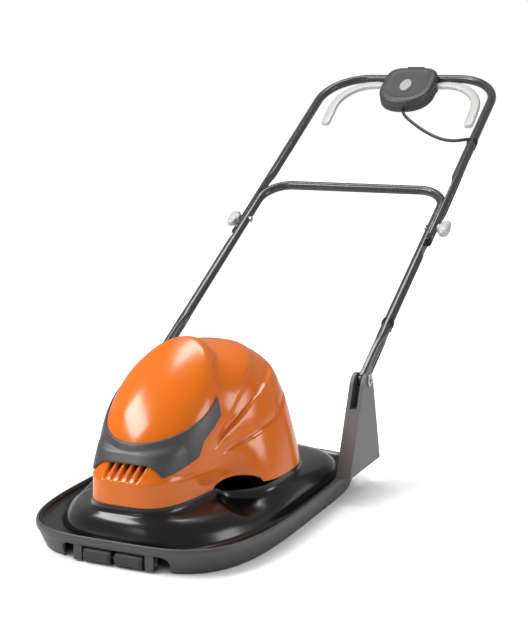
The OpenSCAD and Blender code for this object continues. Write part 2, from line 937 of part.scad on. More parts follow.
motor_screw_d = 5;
motor_screw_head_d = 9;
motor_screw_head_h = 3;
foot_plate_t = 5;
foot_plate_d = 128;
foot_screw_r = 56;
foot_wall = 4;
stator_z = hood_top_z + motor_foot_h;
stator_top_z = stator_z + stator_h;
top_bracket_h = 40;
top_bracket_t = 5;
bracket_arm_w = 24;
coil_h = 14;
coil_t = 8;
brush_w = 7;
brush_gap = 4;
brush_z = stator_top_z + coil_h + brush_gap;
stator_corner_r = 42;

module foot_screw_places() {
    for (i = [0:3])
        rotate(45 + 90 * i)
            translate([foot_screw_r, 0, 0])
                children();
}

module motor_foot() {
    seat_z = hood_top_z + motor_foot_h;
    color("#8c8c8c") deck_frame()
        difference() {
            union() {
                upright(foot_plate_d, hood_top_z, foot_plate_t);
                upright(stator_w, hood_top_z, motor_foot_h);
            }
            // The space under the stator, round the lower bearing's seat.
            translate([0, 0, hood_top_z + foot_plate_t])
                difference() {
                    cylinder(d = stator_w - 2 * foot_wall, h = motor_foot_h);
                    cylinder(d = bearing_d + 2 * foot_wall, h = bearing_w + foot_wall);
                }
            upright(bearing_d, hood_top_z + foot_plate_t + foot_wall, motor_foot_h);
            upright(shaft_d + 4 * over, hood_top_z - over, motor_foot_h);
            foot_screw_places()
                upright(motor_screw_d + 2 * seat_gap, hood_top_z - over, foot_plate_t + 2 * over);
            for (turn = [0, 90])
                rotate(turn)
                    translate([-bracket_arm_w / 2, -stator_w, hood_top_z + foot_plate_t + bearing_w])
                        cube([bracket_arm_w, 2 * stator_w, motor_foot_h - 2 * bearing_w - foot_plate_t]);
        }
}

lower_bearing_z = hood_top_z + foot_plate_t + foot_wall;
upper_bearing_z = stator_top_z + top_bracket_h - bearing_w;

module bearing_at(z) {
    ring_t = bearing_d * 0.14;
    color("gainsboro") deck_frame()
        translate([0, 0, z])
            difference() {
                cylinder(d = bearing_d, h = bearing_w);
                upright(shaft_d + 2 * run_clear, -over, bearing_w + 2 * over);
                for (face = [-over, bearing_w - over / 2])
                    translate([0, 0, face])
                        difference() {
                            cylinder(d = bearing_d - 2 * ring_t, h = 1.5 * over);
                            cylinder(d = shaft_d + 2 * ring_t, h = 1.5 * over);
                        }
            }
}

module lower_bearing() {
    bearing_at(lower_bearing_z);
}

module upper_bearing() {
    bearing_at(upper_bearing_z);
}

module stator() {
    pole_slot_w = stator_bore * 0.34;
    color("#6e6e70") deck_frame()
        translate([0, 0, stator_z])
            difference() {
                intersection() {
                    translate([-stator_w / 2, -stator_w / 2, 0])
                        cube([stator_w, stator_w, stator_h]);
                    cylinder(r = stator_corner_r * 1.2, h = stator_h);
                }
                upright(stator_bore, -over, stator_h + 2 * over);
                // The slots in which the field coils lie.
                translate([-pole_slot_w / 2, -coil_reach, -over])
                    cube([pole_slot_w, 2 * coil_reach, stator_h + 2 * over]);
            }
}

coil_inset = 7;
coil_reach = stator_w / 2 - coil_inset;

module field_coils() {
    slot_w = stator_bore * 0.34 - 4 * skin_gap;
    color("#a85a2a") deck_frame()
        for (turn = [0, 180])
            rotate(turn)
                difference() {
                    translate([-slot_w / 2, stator_bore / 2 + skin_gap, stator_z - coil_h])
                        cube([slot_w, coil_reach - stator_bore / 2 - 2 * skin_gap, stator_h + 2 * coil_h]);
                    translate([-slot_w, 0, stator_z - coil_h - over])
                        cube([slot_w / 2 + slot_w / 3, stator_w, over]);
                }
}

module top_bracket() {
    color("#8c8c8c") deck_frame()
        translate([0, 0, stator_top_z])
            difference() {
                union() {
                    for (side = [-1, 1])
                        translate([side * (stator_w / 2 - top_bracket_t / 2) - top_bracket_t / 2, -bracket_arm_w / 2, 0])
                            cube([top_bracket_t, bracket_arm_w, top_bracket_h]);
                    translate([-stator_w / 2, -bracket_arm_w / 2, top_bracket_h])
                        cube([stator_w, bracket_arm_w, top_bracket_t]);
                    upright(bearing_d + 2 * foot_wall, top_bracket_h - bearing_w, bearing_w);
                }
                upright(bearing_d, top_bracket_h - bearing_w - over, bearing_w + over);
                for (side = [-1, 1])
                    translate([side * bracket_screw_x, 0, top_bracket_h - over])
                        cylinder(d = motor_screw_d + 2 * seat_gap, h = top_bracket_t + 2 * over);
            }
}

bracket_screw_in = 12;
bracket_screw_x = stator_w / 2 - bracket_screw_in;

module motor_screws() {
    color("silver") deck_frame()
        foot_screw_places()
            translate([0, 0, hood_top_z + foot_plate_t])
                rotate([180, 0, 0])
                    screw(motor_screw_d, foot_plate_t + hood_wall + over, motor_screw_head_d, motor_screw_head_h);
}

module brush_holders() {
    inner = commutator_d / 2 + 2;
    outer = stator_w / 2 - 2 * top_bracket_t;
    color("#b08a3c") deck_frame()
        for (turn = [0, 180])
            rotate(turn)
                difference() {
                    translate([-brush_w, inner, stator_top_z])
                        cube([2 * brush_w, outer - inner, brush_z - stator_top_z + brush_w]);
                    translate([-brush_w / 2, inner - over, brush_z - brush_w / 2])
                        cube([brush_w, outer - inner + 2 * over, brush_w]);
                    translate([-brush_w - over, inner - over, stator_top_z - over])
                        cube([2 * brush_w + 2 * over, coil_reach - inner + 2 * over, coil_h + 2 * over]);
                }
}

module carbon_brushes() {
    tip = commutator_d / 2 + skin_gap;
    color("#2e2e2e") deck_frame()
        for (turn = [0, 180])
            rotate(turn)
                translate([-brush_w / 2 + seat_gap, tip, brush_z - brush_w / 2 + seat_gap])
                    cube([brush_w - 2 * seat_gap, stator_w / 4, brush_w - 2 * seat_gap]);
}

suppressor_w = 26;
suppressor_t = 15;
suppressor_h = 22;

module suppressor() {
    color("#3f6d9a") deck_frame()
        translate([-suppressor_w / 2, stator_corner_r + suppressor_t * 1.6, hood_top_z])
            cube([suppressor_w, suppressor_t, suppressor_h]);
}

// The rotor: everything that turns with the motor shaft.

fan_plate_t = 3;
fan_room = 7;
fan_top_z = dome_z - hood_wall - fan_room;
fan_plate_z = fan_top_z - fan_vane_h - fan_plate_t;
fan_hub_d = 54;
spacer_h = 9;
fan_hub_z = blade_z + blade_t + spacer_h;
spacer_d = 58;
washer_d = 34;
washer_t = 3;
bolt_hex_d = 19;
bolt_head_h = 7;
shaft_low_z = blade_z - washer_t;
shaft_top_z = stator_top_z + top_bracket_h;
blade_bolt_d = 6;

module motor_shaft() {
    color("gainsboro") deck_frame()
        difference() {
            upright(shaft_d, shaft_low_z + washer_t + skin_gap, shaft_top_z - shaft_low_z - washer_t - skin_gap);
            upright(blade_bolt_d, shaft_low_z - over, 2 * spacer_h + bolt_head_h);
        }
}

module armature() {
    slot_n = 12;
    slot_t = stator_bore * 0.05;
    core_d = stator_bore - 2 * air_gap;
    color("#7b5a45") deck_frame()
        translate([0, 0, stator_z])
            difference() {
                union() {
                    cylinder(d = core_d, h = stator_h);
                    upright(core_d * 0.8, -coil_h / 2, stator_h + coil_h);
                }
                upright(shaft_d, -coil_h, stator_h + 2 * coil_h);
                for (i = [0:slot_n - 1])
                    rotate(360 * i / slot_n)
                        translate([core_d * 0.42, -slot_t / 2, -over])
                            cube([core_d, slot_t, stator_h + 2 * over]);
            }
}

module commutator() {
    color("#b87333") deck_frame()
        translate([0, 0, stator_top_z + coil_h / 2])
            difference() {
                cylinder(d = commutator_d, h = upper_bearing_z - stator_top_z - coil_h / 2 - over);
                upright(shaft_d, -over, top_bracket_h);
            }
}

module fan() {
    vane_t = 2.4;
    vane_gap = 12;
    vane_in = fan_hub_d / 2 + vane_gap;
    vane_r = fan_d * 0.42;
    color("#262626") deck_frame()
        difference() {
            union() {
                upright(fan_d, fan_plate_z, fan_plate_t);
                upright(fan_hub_d, fan_hub_z, fan_top_z - fan_hub_z);
                for (i = [0:fan_vane_n - 1])
                    rotate(360 * i / fan_vane_n)
                        translate([0, 0, fan_plate_z + fan_plate_t])
                            intersection() {
                                // A swept vane.
                                difference() {
                                    cylinder(d = fan_d, h = fan_vane_h);
                                    translate([0, 0, -over])
                                        cylinder(r = vane_in, h = fan_vane_h + 2 * over);
                                }
                                translate([vane_r * 0.62, vane_r, 0])
                                    rotate([0, 0, 180])
                                        rotate_extrude(angle = 90)
                                            translate([vane_r, 0])
                                                square([vane_t, fan_vane_h]);
                            }
            }
            upright(shaft_d, fan_hub_z - over, fan_top_z);
        }
}

module blade_spacer() {
    color("#d9a520") deck_frame()
        translate([0, 0, blade_z + blade_t])
            difference() {
                cylinder(d = spacer_d, h = spacer_h);
                upright(shaft_d, -over, spacer_h + 2 * over);
            }
}

module blade() {
    tip_share = 0.3;
    edge_w = blade_w * 0.34;
    color("#9a9a9c") deck_frame()
        translate([0, 0, blade_z])
            difference() {
                intersection() {
                    translate([-blade_d / 2, -blade_w / 2, 0])
                        cube([blade_d, blade_w, blade_t]);
                    cylinder(d = blade_d, h = blade_t);
                }
                upright(shaft_d, -over, blade_t + 2 * over);
                // The ground cutting edge of each tip.
                for (turn = [0, 180])
                    rotate(turn)
                        translate([blade_d * (0.5 - tip_share), blade_w / 2 - edge_w, blade_t])
                            rotate([-asin(blade_t / edge_w), 0, 0])
                                cube([blade_d * tip_share + over, 2 * edge_w, blade_t]);
            }
}

module blade_washer() {
    color("silver") deck_frame()
        translate([0, 0, blade_z - washer_t])
            difference() {
                cylinder(d = washer_d, h = washer_t);
                upright(blade_bolt_d, -over, washer_t + 2 * over);
            }
}

module blade_bolt() {
    color("silver") deck_frame()
        translate([0, 0, blade_z - washer_t - bolt_head_h]) {
            cylinder(d = bolt_hex_d, h = bolt_head_h, $fn = 6);
            cylinder(d = blade_bolt_d, h = 2 * bolt_head_h + spacer_h);
        }
}

// The handle tubes

upper_half_w = leg_half_w + (tube_d / 2 - lower_press) + clamp_gap + (tube_d / 2 - upper_press);
press_face_x = leg_half_w + tube_d / 2 - lower_press;
flat_ramp = 26;
ramp_skin = 0.5;

// A tube bent to a U: its legs start at s0 and its bar lies at s1.
module u_tube(d, half_w, s0, s1, bend_r) {
    both_sides() {
        translate([half_w, s0, 0])
            rotate([-90, 0, 0])
                cylinder(d = d, h = s1 - bend_r - s0);
        translate([half_w - bend_r, s1 - bend_r, 0])
            rotate_extrude(angle = 90)
                translate([bend_r, 0])
                    circle(d = d);
    }
    translate([0, s1, 0])
        across(d, bend_r - half_w, half_w - bend_r);
}

// Room beyond the face where the legs meet.
module press_room(face_x, toward) {
    both_sides()
        translate([face_x + (toward > 0 ? 0 : -tube_d), upper_end_s - tube_d, -tube_d])
            cube([tube_d, press_end_s - upper_end_s + tube_d, 2 * tube_d]);
}

module clamp_bores() {
    both_sides()
        translate([0, clamp_s, 0])
            across(clamp_bolt_d + 2 * run_clear, leg_half_w - 2 * tube_d, upper_half_w + 2 * tube_d);
}

module lower_handle() {
    leg_s = flat_len + flat_ramp;
    color("#4a4a4c") handle_frame()
        difference() {
            union() {
                difference() {
                    u_tube(tube_d, leg_half_w, leg_s, crossbar_s, crossbar_bend_r);
                    press_room(press_face_x, 1);
                }
                both_sides()
                    translate([leg_half_w, 0, 0])
                        flat_foot();
            }
            difference() {
                u_tube(tube_d - 2 * tube_wall, leg_half_w, leg_s, crossbar_s, crossbar_bend_r);
                press_room(press_face_x - tube_wall, 1);
            }
            both_sides()
                across(pivot_bolt_d + 2 * run_clear, leg_half_w - tube_d, leg_half_w + tube_d);
            clamp_bores();
        }
}

// The leg's foot, pressed flat, with a pressed groove.
module flat_foot() {
    groove_w = flat_h * 0.3;
    groove_t = flat_t * 0.2;
    difference() {
        union() {
            across(flat_h, -flat_t / 2, flat_t / 2);
            translate([-flat_t / 2, 0, -flat_h / 2])
                cube([flat_t, flat_len, flat_h]);
            hull() {
                translate([-flat_t / 2, flat_len - ramp_skin, -flat_h / 2])
                    cube([flat_t, ramp_skin, flat_h]);
                translate([0, flat_len + flat_ramp, 0])
                    rotate([90, 0, 0])
                        cylinder(d = tube_d, h = ramp_skin, $fn = 32);
            }
        }
        for (face = [-1, 1])
            translate([face * flat_t / 2 - groove_t, flat_h * 1.6, -groove_w / 2])
                cube([2 * groove_t, flat_len - flat_h * 1.8, groove_w]);
    }
}

module upper_handle() {
    color("#4a4a4c") handle_frame()
        difference() {
            difference() {
                upper_tube(tube_d, 0);
                press_room(press_face_x + clamp_gap, -1);
            }
            difference() {
                upper_tube(tube_d - 2 * tube_wall, over);
                press_room(press_face_x + clamp_gap + tube_wall, -1);
            }
            clamp_bores();
        }
}

module upper_tube(d, extra) {
    u_tube(d, upper_half_w, upper_end_s - extra, top_s, top_bend_r);
}

plug_t = 4;
plug_len = 16;

module end_plugs() {
    face = press_face_x + clamp_gap;
    bore = tube_d - 2 * tube_wall - 2 * seat_gap;
    color("#1b1b1b") handle_frame()
        both_sides()
            intersection() {
                translate([upper_half_w, upper_end_s, 0]) {
                    rotate([90, 0, 0])
                        cylinder(d = tube_d, h = plug_t);
                    intersection() {
                        rotate([-90, 0, 0])
                            cylinder(d = bore, h = plug_len);
                        translate([face + tube_wall + seat_gap - upper_half_w, 0, -tube_d])
                            cube([2 * tube_d, plug_len, 2 * tube_d]);
                    }
                }
                translate([face, upper_end_s - tube_d, -tube_d])
                    cube([2 * tube_d, 3 * tube_d, 2 * tube_d]);
            }
}

clamp_head_d = 13;
clamp_head_h = 3;
clamp_out_x = upper_half_w + tube_d / 2;

module clamp_bolts() {
    head_x = leg_half_w - tube_d / 2;
    color("silver") handle_frame()
        both_sides()
            translate([0, clamp_s, 0]) {
                across(clamp_bolt_d, head_x, clamp_out_x + knob_depth * 0.8);
                across(clamp_head_d, head_x - clamp_head_h, head_x);
            }
}

module knob_at(side) {
    hub_d = knob_span * 0.44;
    face_x = clamp_out_x + skin_gap;
    end_r = knob_wing_t / 2;
    color("#e4e4e2") handle_frame()
        translate([0, clamp_s, 0])
            mirror([side > 0 ? 0 : 1, 0, 0])
                difference() {
                    union() {
                        across(hub_d, face_x, face_x + knob_depth);
                        translate([face_x + knob_depth * 0.3, 0, 0])
                            rotate([0, 90, 0])
                                linear_extrude(knob_depth * 0.9) {
                                    for (end = [-1, 1])
                                        translate([0, end * (knob_span / 2 - end_r)])
                                            circle(end_r);
                                    translate([-end_r, -knob_span / 2 + end_r])
                                        square([knob_wing_t, knob_span - knob_wing_t]);
                                }
                    }
                    across(clamp_bolt_d + 2 * run_clear, face_x - over, face_x + knob_depth * 0.85);
                }
}

module knob_left() {
    knob_at(-1);
}

module knob_right() {
    knob_at(1);
}

// The lead: it hangs from the switchbox to the right leg, runs down under the legs
// and enters the right pillar. Points are across, along and square to the handle.

lead_n = tube_d / 2 + lead_d / 2 + skin_gap;
lead_meet_s = clamp_s;
lead_foot_y = pivot_y + cheek_t + lead_room;
lead_sides = 8;
lead_splits = 3;

function spline(a, b, c, d, t) =
    0.5 * (2 * b + (c - a) * t + (2 * a - 5 * b + 4 * c - d) * t * t + (3 * b - a - 3 * c + d) * t * t * t);

// A smooth curve through the points.
function smooth(p) = concat(
    [for (i = [0:len(p) - 2], k = [0:lead_splits - 1])
        spline(p[max(i - 1, 0)], p[i], p[i + 1], p[min(i + 2, len(p) - 1)], k / lead_splits)],
    [p[len(p) - 1]]
);

function unit(v) = v / norm(v);

// A round tube swept along a curve; up is never in line with the curve.
module cord(points, up) {
    p = smooth(points);
    last = len(p) - 1;
    loft([for (i = [0:last])
        let (
            t = unit(p[min(i + 1, last)] - p[max(i - 1, 0)]),
            u = unit(cross(t, up)),
            v = cross(t, u)
        )
        [for (k = [0:lead_sides - 1])
            p[i] + lead_d / 2 * (cos(360 * k / lead_sides) * u + sin(360 * k / lead_sides) * v)]]);
}

lead_upper_points = [
    [8, 928, -9], [8, 903, -9.5], [20, 886, -13], [42, 868, -19], [70, 850, -26], [100, 834, -31],
    [128, 824, -33], [154, 818, -30], [180, 811, -22], [198, 798, -16], [206, 770, -13.6],
    [207, 690, -13.6], [209, 600, -13.6], [211, 520, -13.6], [211, 452, -13.6]
];
// These lie beside the leg.
lead_lower_points = [
    [-2, 458, -13.6], [-2, 400, -13.6], [-1, 330, -13.6], [0, 240, -13.6], [0, 155, -13.6],
    [0, 115, -16.5], [0, 60, -17.5], [0, 40, -17.5], [0, 24, -17.5]
];
// And these beside it, behind the blade axis and above the ground.
lead_deck_points = [
    [0, 262.6, 193.2], [0, 256.2, 189.5], [0, 252, 182], [0, 250, 168], [0, 249, 140], [0, 248, 100], [0, 248, 51.3]
];
lead_far_x = 205.9;

module lead_upper() {
    color("#161616") handle_frame()
        cord([for (p = lead_upper_points) [p[0] * upper_half_w / lead_far_x, p[1], p[2]]], [0, 0, 1]);
}

module lead_lower() {
    color("#161616") handle_frame()
        translate([leg_half_w, 0, 0])
            cord(lead_lower_points, [0, 0, 1]);
}

module lead_deck() {
    color("#161616") deck_frame()
        translate([leg_half_w, 0, 0])
            cord(lead_deck_points, [1, 0, 0]);
}

gland_d = 11;
gland_flange_d = 12;
gland_flange_t = 2;
gland_h = 9;

module lead_gland() {
    color("#101010") deck_frame()
        translate([leg_half_w, lead_foot_y, pillar_foot_z]) {
            cylinder(d = gland_d, h = gland_h);
            upright(gland_flange_d, cheek_t, gland_flange_t);
        }
}

clip_len = 9;
clip_t = 1.8;

// A snap clip that holds the lead under a leg.
module clip_at(x, s, drop) {
    handle_frame()
        translate([x, s, 0])
            rotate([90, 0, 0])
                linear_extrude(clip_len, center = true)
                    difference() {
                        union() {
                            circle(d = tube_d + 2 * seat_gap + 2 * clip_t);
                            translate([0, -drop])
                                circle(d = lead_d + 2 * skin_gap + 2 * clip_t);
                        }
                        circle(d = tube_d + 2 * seat_gap);
                        translate([0, -drop])
                            circle(d = lead_d + 2 * skin_gap);
                        translate([-clip_t, -drop])
                            square([2 * clip_t, drop]);
                        translate([-tube_d / 4, tube_d / 4])
                            square([tube_d / 2, tube_d]);
                    }
}

upper_clip_s = 765;
lower_clip_s = 155;

module upper_clip() {
    color("#161616")
        clip_at(upper_half_w, upper_clip_s, lead_n);
}

module lower_clip() {
    color("#161616")
        clip_at(leg_half_w, lower_clip_s, lead_n);
}

// The switchbox: a lid and a base that close round the top bar.

box_mid_s = top_s + (box_above - box_below) / 2;
box_len = box_above + box_below;
box_low_power = 2.4;
box_high_power = 4.2;
lid_in_shares = [0, 0.02, 0.10, 0.22];
lid_up_shares = [0, 0.62, 0.90, 1];

// A ring of the box, drawn in by a distance, at a share of its height.
function box_ring(draw_in, up_share, high, low) = [
    for (a = angles())
    let (
        p = oval(a, box_half_w - draw_in, box_len / 2 - draw_in, box_len / 2 - draw_in, 0,
            box_low_power, box_high_power),
        along = (p[1] + box_len / 2) / box_len
    )
    [p[0], p[1], up_share * (low + (high - low) * along)]
];

// A tray with a sloping floor, open below.
module box_tray(high, low) {
    last = len(lid_in_shares) - 1;
    loft(concat(
        [for (k = [last:-1:0])
            box_ring(box_wall + lid_in_shares[k] * box_half_w, lid_up_shares[k], high - box_wall, low - box_wall)],
        [for (k = [0:last]) box_ring(lid_in_shares[k] * box_half_w, lid_up_shares[k], high, low)]
    ));
}

module bar_room() {
    translate([0, top_s - box_mid_s, 0])
        across(tube_d + 2 * seat_gap, -box_half_w - over, box_half_w + over);
}

lever_back = 25;
lever_axis_s = top_s - lever_back;
lever_axis_n = -4;
lever_side_room = 4;
lever_swing_room = 5;
lever_window_w = lever_w + 2 * lever_side_room;
lever_window_h = lever_t + 2 * lever_swing_room;

module lever_windows() {
    translate([-box_half_w - over, lever_axis_s - box_mid_s - lever_window_w / 2, lever_axis_n - lever_window_h / 2])
        cube([2 * box_half_w + 2 * over, lever_window_w, lever_window_h]);
}

module lever_window_pair() {
    difference() {
        lever_windows();
        translate([-box_half_w * 0.6, -box_len, -base_h])
            cube([box_half_w * 1.2, 2 * box_len, 2 * base_h]);
    }
}

button_back = 62;
button_s = top_s - button_back;
lid_slope = atan((lid_h - lid_low_h) / box_len);

module button_frame() {
    along = (button_s - box_mid_s + box_len / 2) / box_len;
    translate([0, button_s, lid_low_h + (lid_h - lid_low_h) * along])
        rotate([lid_slope, 0, 0])
            children();
}

module switchbox_lid() {
    color("#6f6f70") handle_frame()
        difference() {
            translate([0, box_mid_s, 0])
                difference() {
                    union() {
                        box_tray(lid_h, lid_low_h);
                        translate([0, -box_mid_s, 0])
                            lid_bosses();
                    }
                    translate([0, -box_mid_s, 0])
                        box_screw_places()
                            upright(box_screw_d + 2 * seat_gap, -base_h, box_screw_len + over);
                    bar_room();
                    lever_window_pair();
                    translate([-inlet_w / 2 - seat_gap, 0, -over])
                        cube([inlet_w + 2 * seat_gap, box_len, inlet_mid_n + inlet_h / 2 + seat_gap + over]);
                }
            button_frame()
                upright(button_d + 2 * skin_gap, -2 * box_wall, 4 * box_wall);
        }
}

// The screws' bosses reach up into the lid.
module lid_bosses() {
    low = box_wall + seat_gap - base_h;
    for (side = [-1, 1], share = box_screw_shares)
        translate([side * box_half_w * share[0], box_mid_s + share[1] * box_len, low])
            cylinder(d = 2 * box_screw_d, h = lid_low_h + (lid_h - lid_low_h) * (share[1] + 0.5) - box_wall / 2 - low);
}

pin_rib_x = 30;
pin_rib_t = 4;

module switchbox_base() {
    color("#4a4a4a") handle_frame()
        difference() {
            union() {
                translate([0, box_mid_s, 0])
                    rotate([0, 180, 0])
                        difference() {
                            box_tray(base_h, base_h);
                            bar_room();
                        }
                for (side = [-1, 1])
                    translate([side * pin_rib_x - pin_rib_t / 2, lever_axis_s - lever_pin_d, -base_h + box_wall])
                        cube([pin_rib_t, 2 * lever_pin_d, base_h - box_wall + lever_axis_n + lever_pin_d]);
            }
            translate([0, box_mid_s, 0])
                lever_window_pair();
            translate([0, lever_axis_s, lever_axis_n])
                across(lever_pin_d + 2 * run_clear, -box_half_w * 0.9, box_half_w * 0.9);
            translate([-inlet_w / 2 - seat_gap, box_mid_s, inlet_mid_n - inlet_h / 2 - seat_gap])
                cube([inlet_w + 2 * seat_gap, box_len, inlet_h]);
            translate([lead_upper_points[0][0], lead_upper_points[0][1], lead_upper_points[0][2]])
                rotate([90, 0, 0])
                    cylinder(d = lead_d + 4 * skin_gap, h = lead_d * 6, center = true);
            box_screw_places()
                upright(box_screw_d + 2 * seat_gap, -base_h - over, base_h);
        }
}

box_screw_d = 3.5;
box_screw_len = 12;
box_screw_head_d = 7;
box_screw_head_h = 2.4;
// Shares at which the screws stand.
box_screw_shares = [[0.5, -0.24], [0.64, -0.02]];

module box_screw_places() {
    for (side = [-1, 1], share = box_screw_shares)
        translate([side * box_half_w * share[0], box_mid_s + share[1] * box_len, 0])
            children();
}

module box_screws() {
    color("silver") handle_frame()
        box_screw_places()
            translate([0, 0, -base_h])
                screw(box_screw_d, box_screw_len, box_screw_head_d, box_screw_head_h);
}

inlet_len = box_above + inlet_proud - tube_d / 2 - 2 * seat_gap;

// The mains inlet: a shrouded socket.
module mains_inlet() {
    pin_d = 4;
    wall = 3;
    floor_t = 8;
    start = top_s + tube_d / 2 + 2 * seat_gap;
    color("#141414") handle_frame()
        translate([0, start, inlet_mid_n])
            difference() {
                translate([-inlet_w / 2, 0, -inlet_h / 2])
                    cube([inlet_w, inlet_len, inlet_h]);
                translate([-inlet_w / 2 + wall, floor_t, -inlet_h / 2 + wall])
                    difference() {
                        cube([inlet_w - 2 * wall, inlet_len, inlet_h - 2 * wall]);
                        for (side = [-1, 1])
                            translate([inlet_w / 2 - wall + side * pin_d * 1.5, 0, inlet_h / 2 - wall])
                                rotate([-90, 0, 0])
                                    cylinder(d = pin_d, h = inlet_len - floor_t - wall);
                    }
            }
}

switch_w = 28;
switch_len = 20;
switch_h = 12;

module switch() {
    color("#202020") handle_frame()
        translate([-switch_w / 2, button_s - switch_len / 2, -base_h + box_wall])
            cube([switch_w, switch_len, switch_h]);
}

button_stem_d = 10;
button_flange_t = 2;
button_proud = 4.5;
button_skirt = 7;

module button_guide() {
    guide_low = -base_h + box_wall + switch_h;
    color("#2a2a2a") handle_frame()
        difference() {
            translate([-switch_w / 2, button_s - switch_len / 2, guide_low])
                cube([switch_w, switch_len, guide_h]);
            button_frame()
                upright(button_stem_d + 2 * run_clear, -lid_h - base_h, 2 * lid_h + 2 * base_h);
        }
}

guide_h = 8;

module lock_button() {
    stem_len = 12;
    stem = button_skirt + stem_len;
    color("#e6e6e4") handle_frame()
        button_frame() {
            upright(button_d, -button_skirt, button_skirt + button_proud - button_d * 0.05);
            upright(button_d * 0.86, -button_skirt, button_skirt + button_proud);
            upright(button_stem_d, -stem, stem);
        }
}

module lever_pin() {
    color("silver") handle_frame()
        translate([0, lever_axis_s, lever_axis_n])
            across(lever_pin_d, -box_half_w * 0.8, box_half_w * 0.8);
}

lever_hub_d = 13;
lever_hub_in = 36;
lever_hub_out = 52;
lever_mid_share = 0.408;
lever_mid_x = upper_half_w * lever_mid_share;
lever_arc_steps = 12;

// The lever's line: out of the box, round a bend and down.
function lever_line() = concat(
    [[lever_hub_out, 0]],
    [for (k = [0:lever_arc_steps])
        let (a = 90 - 90 * k / lever_arc_steps)
        [lever_mid_x + lever_bend_r * cos(a), -lever_bend_r + lever_bend_r * sin(a)]],
    [[lever_mid_x + lever_bend_r, -lever_drop + top_s - lever_axis_s]]
);

lever_round_share = 0.3;

function lever_section(p, dir) =
    let (
        side = [-dir[1], dir[0], 0],
        w = lever_w / 2,
        t = lever_t / 2,
        r = lever_t * lever_round_share
    )
    [for (c = [[w, -t + r], [w, t - r], [w - r, t], [-w + r, t], [-w, t - r], [-w, -t + r], [-w + r, -t], [w - r, -t]])
        [p[0], p[1], 0] + c[0] * side + [0, 0, c[1]]];

module lever_at(side) {
    line = lever_line();
    last = len(line) - 1;
    color("#e4e4e2") handle_frame()
        translate([0, lever_axis_s, lever_axis_n])
            mirror([side > 0 ? 0 : 1, 0, 0])
                difference() {
                    union() {
                        rotate([lever_droop, 0, 0])
                            loft([for (i = [0:last])
                                lever_section(line[i], unit(line[min(i + 1, last)] - line[max(i - 1, 0)]))]);
                        across(lever_hub_d, lever_hub_in, lever_hub_out + lever_w / 2);
                    }
                    across(lever_pin_d + 2 * run_clear, lever_hub_in - over, lever_hub_out + lever_w);
                }
}

module lever_left() {
    lever_at(-1);
}

module lever_right() {
    lever_at(1);
}

hood();
bumper();
motor_cover();
visor();
cover_screws();
pillar_left();
pillar_right();
pivot_bolts();
pivot_nuts();
roller_axle();
roller_brackets();
roller_left();
roller_right();
motor_foot();
stator();
field_coils();
top_bracket();
motor_screws();
lower_bearing();
upper_bearing();
brush_holders();
carbon_brushes();
suppressor();
motor_shaft();
armature();
commutator();
fan();
blade_spacer();
blade();
blade_washer();
blade_bolt();
lower_handle();
clamp_bolts();
lower_clip();
lead_lower();
lead_deck();
lead_gland();
upper_handle();
end_plugs();
knob_left();
knob_right();
upper_clip();
lead_upper();
switchbox_base();
switchbox_lid();
box_screws();
mains_inlet();
switch();
button_guide();
lock_button();
lever_pin();
lever_left();
lever_right();
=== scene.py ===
import math

import bpy
import numpy as np
from mathutils import Matrix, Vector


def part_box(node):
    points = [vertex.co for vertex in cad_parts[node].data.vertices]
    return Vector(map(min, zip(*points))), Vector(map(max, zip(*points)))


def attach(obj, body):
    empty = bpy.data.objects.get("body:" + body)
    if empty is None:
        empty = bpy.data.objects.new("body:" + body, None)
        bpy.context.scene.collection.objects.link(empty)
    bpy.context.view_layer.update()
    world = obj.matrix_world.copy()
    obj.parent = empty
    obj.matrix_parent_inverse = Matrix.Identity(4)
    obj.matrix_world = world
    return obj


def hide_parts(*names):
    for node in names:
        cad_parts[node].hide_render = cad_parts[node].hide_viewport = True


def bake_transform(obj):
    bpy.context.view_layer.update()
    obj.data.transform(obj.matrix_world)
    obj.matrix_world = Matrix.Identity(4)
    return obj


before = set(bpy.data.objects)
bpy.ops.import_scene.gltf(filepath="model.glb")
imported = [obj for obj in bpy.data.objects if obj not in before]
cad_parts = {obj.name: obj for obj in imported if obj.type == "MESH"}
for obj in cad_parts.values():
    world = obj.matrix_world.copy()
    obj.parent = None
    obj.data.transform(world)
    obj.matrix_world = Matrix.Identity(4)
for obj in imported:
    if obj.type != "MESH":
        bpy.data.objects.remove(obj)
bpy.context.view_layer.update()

# Studio: a camera at the photograph's angle, a pale floor and soft lamps.
# The floor glows a little for the camera alone, so that it reads as white paper
# while the mower still drops a shadow on it; close to the mower the glow is cut by ambient occlusion, a painted
# contact shadow.


def linear(hex_colour):
    """An sRGB hex colour as linear RGBA: each channel below 0.04045 is divided by 12.92,
    and the others are ((c + 0.055) / 1.055) to the power 2.4."""
    srgb = [int(hex_colour[i:i + 2], 16) / 255 for i in (1, 3, 5)]
    return [c / 12.92 if c <= 0.04045 else ((c + 0.055) / 1.055) ** 2.4 for c in srgb] + [1.0]


def add(tree, kind, links=None, values=None, **settings):
    """Adds a node: settings are its own properties, values its unlinked sockets, links its linked ones."""
    node = tree.nodes.new(kind)
    for key, value in settings.items():
        setattr(node, key, value)
    for key, value in (values or {}).items():
        node.inputs[key].default_value = value
    for key, output in (links or {}).items():
        tree.links.new(output, node.inputs[key])
    return node


camera_data = bpy.data.cameras.new("camera")
camera_data.sensor_width = 36
camera_data.lens = 77.15
camera = bpy.data.objects.new("camera", camera_data)
camera.location = (0.9783, -2.3666, 0.7231)
turn = (Matrix.Rotation(math.radians(23.965), 3, "Z")
        @ Matrix.Rotation(math.radians(90 - 10.103), 3, "X")
        @ Matrix.Rotation(math.radians(0.16), 3, "Z"))
camera.rotation_euler = turn.to_euler()
bpy.context.collection.objects.link(camera)
bpy.context.scene.camera = camera
bpy.context.scene.view_settings.view_transform = "Standard"

